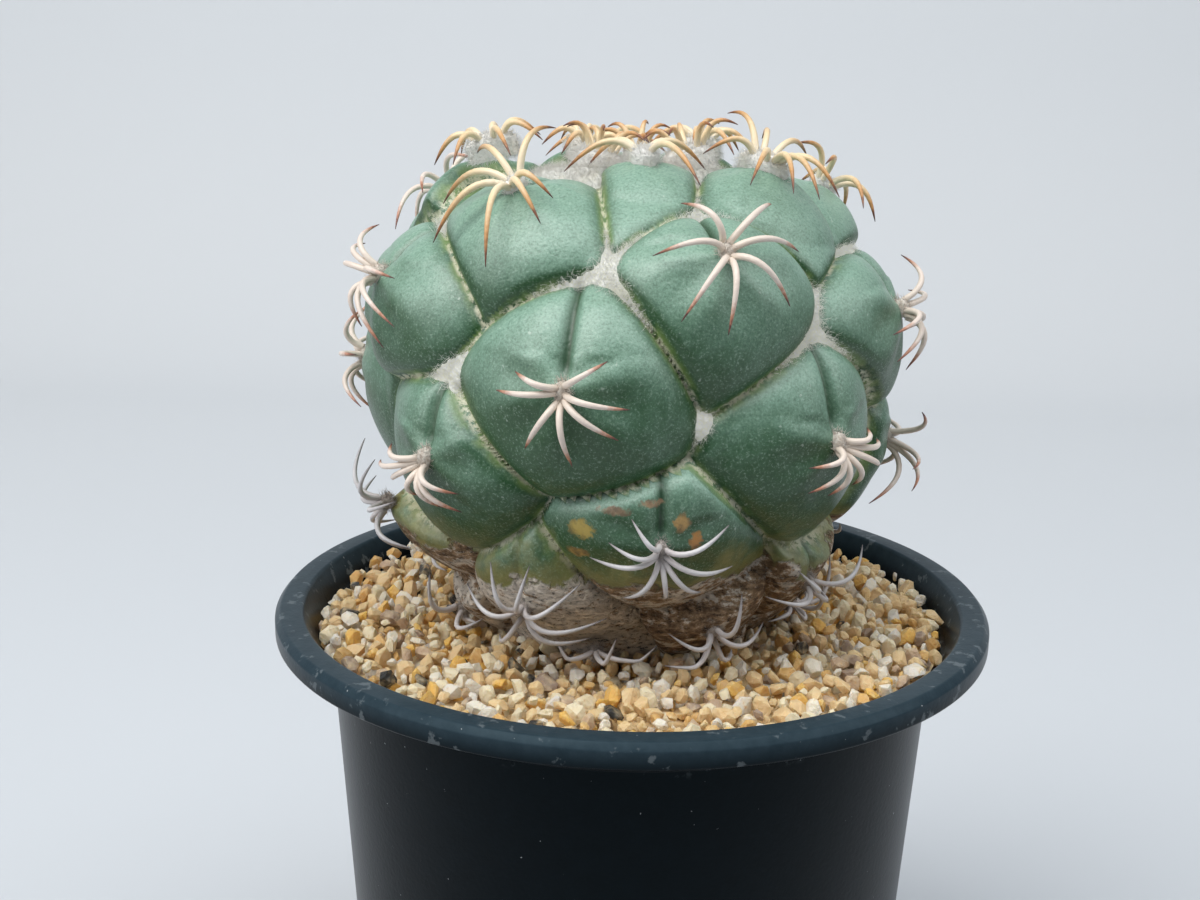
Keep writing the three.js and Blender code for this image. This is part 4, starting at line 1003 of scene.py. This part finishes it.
def make_head(number):
    head = tubercle(number)
    horn, felt, slot, root_radius = next(age[1:] for age in AGES if number < age[0])
    young, unborn = slot == "young_spine", number < 0
    lines = []
    for heading, reach, *raised in star_of(number):
        lines.append(spine_line(head, heading, reach, CROWN_RAISED if unborn else sum(raised)))
    size = pad_size(number)
    pad, pad_faces = pad_mesh(head, (0.9 if number < 5 else 0.6) * size, 1.9 if young else 1.3,
                              (0.75 if young else 0.55) * size)
    name = f"crown_spines_{-number}" if unborn else f"spines_{number:02d}"
    piece = lines_and_pad(name, lines, pad, pad_faces)
    dress(piece, HEAD_TREE, Root_Radius=root_radius, Tip_Radius=0.06, Sides=8, Steps=SPINE_STEPS,
          Fibres_per_mm2=9.0 / MM**2, Fibre=FELT_FIBRE, Finish=horn, Felt=felt)
    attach(piece, "root")
    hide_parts("crown_wool" if unborn else f"spine_head_{number:02d}")
    return piece


heads = [make_head(number) for number in range(YOUNGEST + 1, OLDEST_WITH_SPINES + 1)]
print(f"{len(heads)} heads of spines, {sum(len(h.data.polygons) for h in heads)} faces")

# %% [markdown]
# ## Wool
#
# White wool fills the corners between the tubercles and the crown's hollow, as snow fills a
# ditch. So each patch is a smooth level laid over the form: where it lies above the skin it shows,
# and it runs out along the creases by itself. Fibres planted on it give the soft edge. Patch 22 is
# a small fleck below the others, in the corner between the tubercles 14, 17 and 22.

# %% Wool patches
WOOLLY = range(9, 21)
WOOL_REACH = {9: 13, 11: 9, 12: 9, 14: 19, 17: 16, 19: 7}


def wool_corner(number):
    """The deepest place between a tubercle and the two above it: its azimuth and distance."""
    around = [tubercle(number + step) for step in (0, -5, -8)]
    middle = sum(t["point"] for t in around) / 3
    azimuth = math.atan2(middle[0], -middle[1])
    s = sum(t["s"] for t in around) / 3
    turns, shifts = np.meshgrid(np.radians(np.arange(-8, 9)), np.arange(-6, 7.0), indexing="ij")
    facts = skin_points(azimuth + turns, s + shifts)[1]
    best = np.unravel_index(np.argmax(facts["depth"]), turns.shape)
    return azimuth + turns[best], s + shifts[best]


def thick_patch(name, top, bottom, keep):
    """A closed sheet between two grids of points, made only where keep is true."""
    rows, columns = keep.shape
    index = np.arange((rows + 1) * (columns + 1)).reshape(rows + 1, columns + 1)
    under = index.size
    faces, count = [], {}
    for i, j in zip(*np.nonzero(keep)):
        ring = [int(index[i, j]), int(index[i + 1, j]), int(index[i + 1, j + 1]), int(index[i, j + 1])]
        faces.append(ring)
        faces.append([k + under for k in reversed(ring)])
        for a, b in zip(ring, ring[1:] + ring[:1]):
            count[(a, b)] = True
    faces += [[b, a, a + under, b + under] for a, b in count if (b, a) not in count]
    points = np.concatenate([top.reshape(-1, 3), bottom.reshape(-1, 3)])
    used = sorted({k for face in faces for k in face})
    renumber = {old: new for new, old in enumerate(used)}
    piece = mesh_object(name, in_part(points[used]), [[renumber[k] for k in face] for face in faces])
    give_attribute(piece.data, "top", [1.0 if k < under else 0.0 for k in used])
    return piece


# %% Sheets of wool
def wool_patch(name, azimuth, s, level, reach, cells=90):
    """Wool that fills the creases round a place, or lies at a level there, thinning out outward."""
    radius = float(place(azimuth, s)[2])
    across = np.linspace(-1.3, 1.3, cells) * reach
    grid_s, grid_a = np.meshgrid(s + across, azimuth + across / max(radius, 1), indexing="ij")
    points, facts = skin_points(grid_a, grid_s)
    base = place(grid_a, grid_s)[0]
    away = np.hypot(*np.meshgrid(across, across, indexing="ij")) / reach
    x, y, z = np.moveaxis(points, -1, 0)
    wool = 0.15 * np.sin(x * 2.1 + z * 1.3) * np.sin(z * 2.4 - y)  # low lumps
    if level is None:
        wool += facts["depth"] - facts["rolled"] + 0.8 + 1.9 * away ** 2
    else:
        wool += level + 2.6 * away ** 2.5
    shows = facts["depth"] - wool
    top = base - facts["out"] * np.minimum(wool, facts["depth"] + 0.3)[..., None]
    bottom = base - facts["out"] * (facts["depth"] + 0.9)[..., None]
    near = shows > -0.25
    keep = near[:-1, :-1] | near[1:, :-1] | near[:-1, 1:] | near[1:, 1:]
    keep &= (away[:-1, :-1] < 1.25)
    return thick_patch(name, top, bottom, keep)


def wool_tree():
    tree, start, end = geometry_tree("wool_patch", Fibres_per_mm2=8.0, Fibre=bpy.types.Object, Wool=None)
    top = step(tree, "GeometryNodeInputNamedAttribute", {"Name": "top"}, data_type="FLOAT")
    shown = step(tree, "FunctionNodeCompare", {0: top, 1: 0.99}, data_type="FLOAT", operation="GREATER_THAN")
    ground = step(tree, "GeometryNodeSeparateGeometry", {0: start["Geometry"], 1: shown}, domain="FACE")
    whole = joined(tree, start["Geometry"], plant_fibres(tree, ground, start, 11))
    finish_tree(tree, whole, start["Wool"], end)
    return tree


# %% Wool in its places
WOOL_TREE = wool_tree()
WOOL_FIBRE = fibre_object("wool_fibre", 1.25, 0.055, 0.8)


def make_wool(name, node, azimuth, s, level, reach, finish=AXIL_WOOL, fibres=15.0):
    piece = wool_patch(name, azimuth, s, level, reach)
    dress(piece, WOOL_TREE, Fibres_per_mm2=fibres / MM**2, Fibre=WOOL_FIBRE, Wool=finish)
    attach(piece, "root")
    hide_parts(node)
    return piece


wools = []
for number in WOOLLY:
    wools.append(make_wool(f"wool_{number:02d}", f"axil_wool_{number:02d}", *wool_corner(number), None,
                           WOOL_REACH.get(number, 10)))
wools.append(make_wool("wool_22", "axil_wool_17", *wool_corner(22), None, 4.2))
wools.append(make_wool("wool_crown", "crown_wool", 0, 6, 1.1, 14, CROWN_WOOL, 8.0))
for pattern in (FELT_FIBRE, WOOL_FIBRE):
    bpy.data.objects.remove(pattern)
print(f"{len(wools)} patches of wool, {sum(len(w.data.polygons) for w in wools)} faces")

# %% [markdown]
# ## Gravel
#
# The top dressing is loose quartz grit, some two thousand grains in two or three layers. Nobody
# would place those by hand. Ten grains are cut as small hulls, and a tree scatters them over the
# packed bed, keeps them a grain apart, turns each one its own way and gives it its own tone.

# %% Grains
GRAIN_SHAPES, GRAIN_CORNERS = 10, 20
BED_OUTLINE = [(56.2, -5.6), (53.3, -8.2), (53.2, -10.6)]  # radius, height, outside the bed
STONE_GAP = 1.2


def grain_object(number):
    """A small angular stone: the hull of points on a squashed ball."""
    draws = np.random.default_rng(40 + number)
    corners = draws.normal(size=(GRAIN_CORNERS, 3))
    corners /= np.linalg.norm(corners, axis=1)[:, None]
    corners *= [1.15, draws.uniform(0.7, 1.0), draws.uniform(0.55, 0.85)]
    shape = bmesh.new()
    for corner in corners * MM:
        shape.verts.new(corner)
    bmesh.ops.convex_hull(shape, input=shape.verts)
    mesh = bpy.data.meshes.new(f"grain_{number}")
    shape.to_mesh(mesh)
    shape.free()
    return bpy.data.objects.new(mesh.name, mesh)


# %% Bed of stones
def skin_radius_at(azimuth, height):
    """How far the skin is from the plant's axis at a height near the ground."""
    s = np.linspace(105, ROOT_STARTS, 60)
    grid_a, grid_s = np.meshgrid(azimuth, s, indexing="ij")
    points = skin_points(grid_a, grid_s)[0]
    nearest = np.argmin(np.abs(points[..., 2] - height), axis=1)
    found = points[np.arange(len(azimuth)), nearest]
    return np.hypot(found[:, 0], found[:, 1])


def gravel_bed(sides=96, rows=6):
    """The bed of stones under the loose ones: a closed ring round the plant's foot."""
    azimuth = np.linspace(0, 2 * np.pi, sides, endpoint=False)
    inner = skin_radius_at(azimuth, BED_OUTLINE[0][1]) + STONE_GAP
    loops = []
    for k, (radius, height) in enumerate(BED_OUTLINE):
        outer = np.sqrt(radius ** 2 - (PLANT_OFFSET * np.cos(azimuth)) ** 2) - PLANT_OFFSET * np.sin(azimuth)
        for share in np.linspace(0, 1, rows) if k == 0 else [1]:
            loops.append(turned(azimuth, inner + (outer - inner) * share, height))
    loops.append(turned(azimuth, inner, BED_OUTLINE[-1][1]))
    points = np.concatenate(loops)
    grid = np.arange(len(points)).reshape(-1, sides)
    below, beside = np.roll(grid, -1, axis=0), np.roll(grid, -1, axis=1)
    faces = np.stack([grid, below, np.roll(beside, -1, axis=0), beside], -1).reshape(-1, 4)
    return mesh_object("gravel_stones", in_part(points), faces.tolist(), smooth=False)


# %% Tree of the gravel
LAYERS, UNEVEN = (0.3, 2.4), 0.5  # mm over the bed, and how far a grain lies off its layer
ANY_WAY = (3.14, 3.14, 3.14)


def gravel_tree():
    tree, start, end = geometry_tree("gravel", Grain_Distance=0.0022, Smallest=0.8, Largest=2.1,
                                     Stones=bpy.types.Collection, Stone_Finish=None)
    normal = step(tree, "GeometryNodeInputNormal")
    upward = add(tree, "ShaderNodeSeparateXYZ", {0: normal}).outputs["Z"]
    bed_top = step(tree, "GeometryNodeSeparateGeometry",
                   {0: start["Geometry"], 1: maths(tree, "GREATER_THAN", upward, 0.9)}, domain="FACE")
    stones = add(tree, "GeometryNodeCollectionInfo", {"Collection": start["Stones"]})
    stones.inputs["Separate Children"].default_value = True
    stones.inputs["Reset Children"].default_value = True
    whole = [start["Geometry"]]
    for layer, height in enumerate(LAYERS):
        seed = 20 + 10 * layer
        spots = step(tree, "GeometryNodeDistributePointsOnFaces",
                     {"Mesh": bed_top, "Distance Min": start["Grain_Distance"],
                      "Density Max": 0.6 / MM ** 2, "Seed": seed}, distribute_method="POISSON")
        lift = any_number(tree, (height - UNEVEN) * MM, (height + UNEVEN) * MM, seed + 1)
        offset = step(tree, "ShaderNodeCombineXYZ", {"Z": lift})
        raised = step(tree, "GeometryNodeSetPosition", {"Geometry": spots, "Offset": offset})
        laid = step(tree, "GeometryNodeInstanceOnPoints", {
            "Points": raised, "Instance": stones.outputs[0], "Pick Instance": True,
            "Rotation": any_turn(tree, ANY_WAY, seed + 2),
            "Scale": any_number(tree, start["Smallest"], start["Largest"], seed + 3)})
        whole.append(step(tree, "GeometryNodeStoreNamedAttribute",
                          {"Geometry": laid, "Name": "tone", "Value": any_number(tree, 0.0, 1.0, seed + 4)},
                          data_type="FLOAT", domain="INSTANCE"))
    finish_tree(tree, joined(tree, *whole), start["Stone_Finish"], end)
    return tree


# %% [markdown]
# Quartz grit is a mix of milky, honey and rust-coloured grains with a few dark ones. Each grain
# drew a tone between 0 and 1, and a ramp with hard steps sorts them into those colours. The share
# of each colour is the width of its step.

# %% Gravel finish
STONE_TONES = [  # from which draw on, and the colour
    (0.0, (0.80, 0.57, 0.30)), (0.14, (0.86, 0.74, 0.52)), (0.32, (0.72, 0.43, 0.15)),
    (0.42, (0.78, 0.55, 0.29)), (0.56, (0.90, 0.82, 0.68)), (0.68, (0.86, 0.50, 0.12)),
    (0.77, (0.52, 0.37, 0.25)), (0.82, (0.80, 0.74, 0.65)), (0.93, (0.34, 0.25, 0.19)),
    (0.975, (0.02, 0.02, 0.02)),
]
CLOUD, RUST = (0.90, 0.74, 0.47), (0.62, 0.34, 0.10)


def stone_finish():
    material, tree, shader = finish_of("quartz_grit", 0.3, Subsurface_Weight=0.3, Subsurface_Scale=0.002)
    shader.inputs["Subsurface Radius"].default_value = (1.0, 0.75, 0.5)
    colour = ramp(tree, attribute(tree, "tone"), *STONE_TONES, mode="CONSTANT")
    colour = mix(tree, span(tree, noise(tree, 0.55, 4), 0.4, 0.75, 0, 0.45), colour, CLOUD)
    colour = mix(tree, span(tree, noise(tree, 1.1, 3), 0.6, 0.75, 0, 0.5), colour, RUST)
    tree.links.new(colour, shader.inputs["Base Color"])
    tree.links.new(bump(tree, noise(tree, 1.3, 6, 0.65), 0.5), shader.inputs["Normal"])
    return material


grains = bpy.data.collections.new("grains")
for k in range(GRAIN_SHAPES):
    grains.objects.link(grain_object(k))
gravel = gravel_bed()
dress(gravel, gravel_tree(), Stones=grains, Stone_Finish=stone_finish())
bpy.data.collections.remove(grains)
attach(gravel, "root")
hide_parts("gravel")
print(f"gravel: {len(gravel.data.polygons)} faces")

# %% [markdown]
# ## Pot and soil
#
# The pot is moulded in one shot of black plastic, and it is round in every section. So its tree
# takes half a section, rounds its corners as a mould does, sweeps it round the axis and drills the
# five drain holes. Depths count from the rim's top.

# %% Pot
POT_SECTION = [  # radius, depth below the rim
    (0, 108), (48.6, 108), (55, 9.2), (58.7, 6.2), (61, 2.76), (63.8, 3.22), (63.8, 4.6), (65, 4.2),
    (65, 1.2), (64, 0), (60.2, 0), (59.8, 0.5), (57.5, 5), (53.8, 8), (47.4, 106.2), (0, 106.2),
]
DRAIN_HOLES, DRAIN_RADIUS, DRAIN_CIRCLE = 5, 4.0, 36.0
AXIS_RING = 1.0  # the sweep follows a ring this wide round the axis


def section_object():
    points = [((radius - AXIS_RING) * MM, depth * MM, 0) for radius, depth in POT_SECTION]
    mesh = bpy.data.meshes.new("nursery_pot")
    mesh.from_pydata(points, [(k, k + 1) for k in range(len(points) - 1)], [])
    piece = bpy.data.objects.new(mesh.name, mesh)
    bpy.context.scene.collection.objects.link(piece)
    return piece


def pot_tree():
    tree, start, end = geometry_tree("moulded_pot", Sides=192, Corner_Radius=0.0006, Height=0.108,
                                     Plastic=None)
    section = step(tree, "GeometryNodeMeshToCurve", {"Mesh": start["Geometry"]})
    rounded = step(tree, "GeometryNodeFilletCurve",
                   {"Curve": section, "Radius": start["Corner_Radius"], "Count": 3, "Limit Radius": True},
                   mode="POLY")
    ring = step(tree, "GeometryNodeCurvePrimitiveCircle",
                {"Resolution": start["Sides"], "Radius": AXIS_RING * MM})
    swept = step(tree, "GeometryNodeCurveToMesh", {"Curve": ring, "Profile Curve": rounded})
    closed = step(tree, "GeometryNodeMergeByDistance", {"Geometry": swept, "Distance": 0.00001})
    upwards = step(tree, "ShaderNodeCombineXYZ", {"Z": start["Height"]})
    stood = step(tree, "GeometryNodeTransform", {"Geometry": closed, "Translation": upwards})
    drill = step(tree, "GeometryNodeMeshCylinder",
                 {"Vertices": 24, "Radius": DRAIN_RADIUS * MM, "Depth": 0.02})
    circle = step(tree, "GeometryNodeMeshCircle", {"Vertices": DRAIN_HOLES, "Radius": DRAIN_CIRCLE * MM})
    drills = step(tree, "GeometryNodeInstanceOnPoints", {"Points": circle, "Instance": drill})
    solid = step(tree, "GeometryNodeRealizeInstances", {"Geometry": drills})
    drilled = step(tree, "GeometryNodeMeshBoolean", {"Mesh 1": stood, "Mesh 2": solid},
                   operation="DIFFERENCE")
    soft = step(tree, "GeometryNodeSetShadeSmooth", {"Geometry": drilled})
    finish_tree(tree, soft, start["Plastic"], end)
    return tree


# %% Plastic finish
BLACK, BLUE_BLACK = (0.001, 0.0015, 0.002), (0.002, 0.004, 0.006)
THIN_DUST_AND_SHEEN, RIM_DUST_AND_SHEEN = (0.012, 0.024, 0.033), (0.040, 0.063, 0.080)
WATER_MARK, WHITE_SPECK = (0.30, 0.34, 0.36), (0.55, 0.58, 0.60)
DUST_AND_SHEEN_BAND, MARKED_BAND = (5, 0.5), (11, 8)  # mm below the rim's top


def plastic_finish():
    """Black plastic: a film of dust and painted bluish sheen on the rim, dried water marks and stray white
    specks.
    """
    material, tree, shader = finish_of("black_plastic", 0.3, Specular_IOR_Level=0.08)
    shader.inputs["Specular Tint"].default_value = (0.62, 0.88, 1.0, 1)
    height = add(tree, "ShaderNodeSeparateXYZ", {0: own_place(tree)}).outputs["Z"]
    rim, marked = (span(tree, height, *((POT_HEIGHT - below) * MM for below in band))
                   for band in (DUST_AND_SHEEN_BAND, MARKED_BAND))
    colour = mix(tree, noise(tree, 0.3, 5), BLACK, BLUE_BLACK)
    # Dust and a painted sheen: the rim's top is lighter and bluish, as a reflection of the sky would make it.
    colour = mix(tree, rim, colour, mix(tree, noise(tree, 0.4, 6, 0.7), THIN_DUST_AND_SHEEN, RIM_DUST_AND_SHEEN))
    marks = maths(tree, "MULTIPLY", span(tree, noise(tree, 0.28, 4, 0.6), 0.60, 0.66, 0, 0.26), marked)
    colour = mix(tree, marks, colour, WATER_MARK)
    colour = mix(tree, span(tree, noise(tree, 1.0, 2), 0.76, 0.79, 0, 0.6), colour, WHITE_SPECK)
    tree.links.new(colour, shader.inputs["Base Color"])
    tree.links.new(bump(tree, noise(tree, 1.2, 4), 0.03), shader.inputs["Normal"])
    return material


pot = section_object()
dress(pot, pot_tree(), Height=POT_HEIGHT * MM, Plastic=plastic_finish())
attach(pot, "root")
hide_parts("pot")
print(f"pot: {len(pot.data.polygons)} faces, {[round(x / MM, 1) for x in pot.dimensions]} mm")


# %% [markdown]
# The soil is hidden under the gravel, and shows only through the drain holes. So it stays the
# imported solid, and only gets a crumbly dark finish.

# %% Soil finish
DARK_SOIL, CRUMB = (0.02, 0.012, 0.008), (0.10, 0.065, 0.045)


def soil_finish():
    material, tree, shader = finish_of("soil", 0.95, Specular_IOR_Level=0.2)
    crumbs = noise(tree, 0.8, 6, 0.7)
    tree.links.new(mix(tree, crumbs, DARK_SOIL, CRUMB), shader.inputs["Base Color"])
    tree.links.new(bump(tree, crumbs, 0.6), shader.inputs["Normal"])
    return material


soil_material = soil_finish()
for item in bpy.data.objects:
    if item.type == "MESH" and item.name.split(".")[0] == "soil":
        item.data.materials.clear()
        item.data.materials.append(soil_material)

# %% [markdown]
# ## Floor and light
#
# The plant stands on a pale floor that sweeps up into a backdrop. Two large soft lights high in
# front stand for an open sky, with a weaker one from either side. Toward the viewer the floor
# darkens, so that it throws no light on the pot's wall, and the black plastic stays black.

# %% Floor and light
BACKDROP, BEND = 0.8, 0.2  # metres: how far behind the plant, and the round at its foot
FLOOR_HERE, FLOOR_BEHIND, FLOOR_BEFORE = (0.625, 0.655, 0.69), (0.75, 0.775, 0.80), (0.20, 0.21, 0.225)


def make_stage():
    flat = [(-1.4, 0), (BACKDROP - BEND, 0)]
    bend = [(BACKDROP - BEND + BEND * math.sin(a), BEND - BEND * math.cos(a))
            for a in np.linspace(0, math.pi / 2, 13)[1:]]
    profile = np.array(flat + bend + [(BACKDROP, 1.8)])
    points = np.concatenate([np.c_[np.full(len(profile), x), profile] for x in (-2.0, 2.0)]) / MM
    count = len(profile)
    faces = [[k + 1, k, k + count, k + count + 1] for k in range(count - 1)]
    stage = mesh_object("floor", points, faces)
    material, tree, shader = finish_of("pale_floor", 0.9, Specular_IOR_Level=0.1)
    behind = add(tree, "ShaderNodeSeparateXYZ", {0: own_place(tree)}).outputs["Y"]
    pale = mix(tree, span(tree, behind, 0.1, 0.8), FLOOR_HERE, FLOOR_BEHIND)
    pale = mix(tree, span(tree, behind, -0.20, -0.42), pale, FLOOR_BEFORE)
    tree.links.new(pale, shader.inputs["Base Color"])
    stage.data.materials.append(material)


def area_light(name, place_at, aim_at, size, watts, colour=(1, 1, 1)):
    light = bpy.data.lights.new(name, "AREA")
    light.shape, light.size, light.energy, light.color = "DISK", size, watts, colour
    item = bpy.data.objects.new(name, light)
    bpy.context.scene.collection.objects.link(item)
    item.location = place_at
    item.rotation_euler = (Vector(aim_at) - Vector(place_at)).to_track_quat("-Z", "Y").to_euler()
    return item


make_stage()
area_light("bright_sky", (-0.50, -0.42, 1.10), (0, 0, 0.15), 0.7, 8.5, (1.0, 0.99, 0.97))
area_light("sky_above", (0.18, -0.34, 1.22), (0, 0, 0.15), 1.0, 7.5, (0.95, 0.98, 1.0))
area_light("left_side", (-0.95, -0.45, 0.55), (0, 0, 0.12), 0.8, 4)
area_light("right_side", (0.9, -0.2, 0.75), (0, 0, 0.14), 0.8, 3.5)
print(f"{len(bpy.data.lights)} lights, backdrop {BACKDROP} m behind the plant")

world = bpy.data.worlds.new("soft_day")
bpy.context.scene.world = world
world.use_nodes = True
world.node_tree.nodes["Background"].inputs["Color"].default_value = (0.62, 0.70, 0.80, 1)
world.node_tree.nodes["Background"].inputs["Strength"].default_value = 0.10
bpy.context.scene.view_settings.view_transform = "Standard"
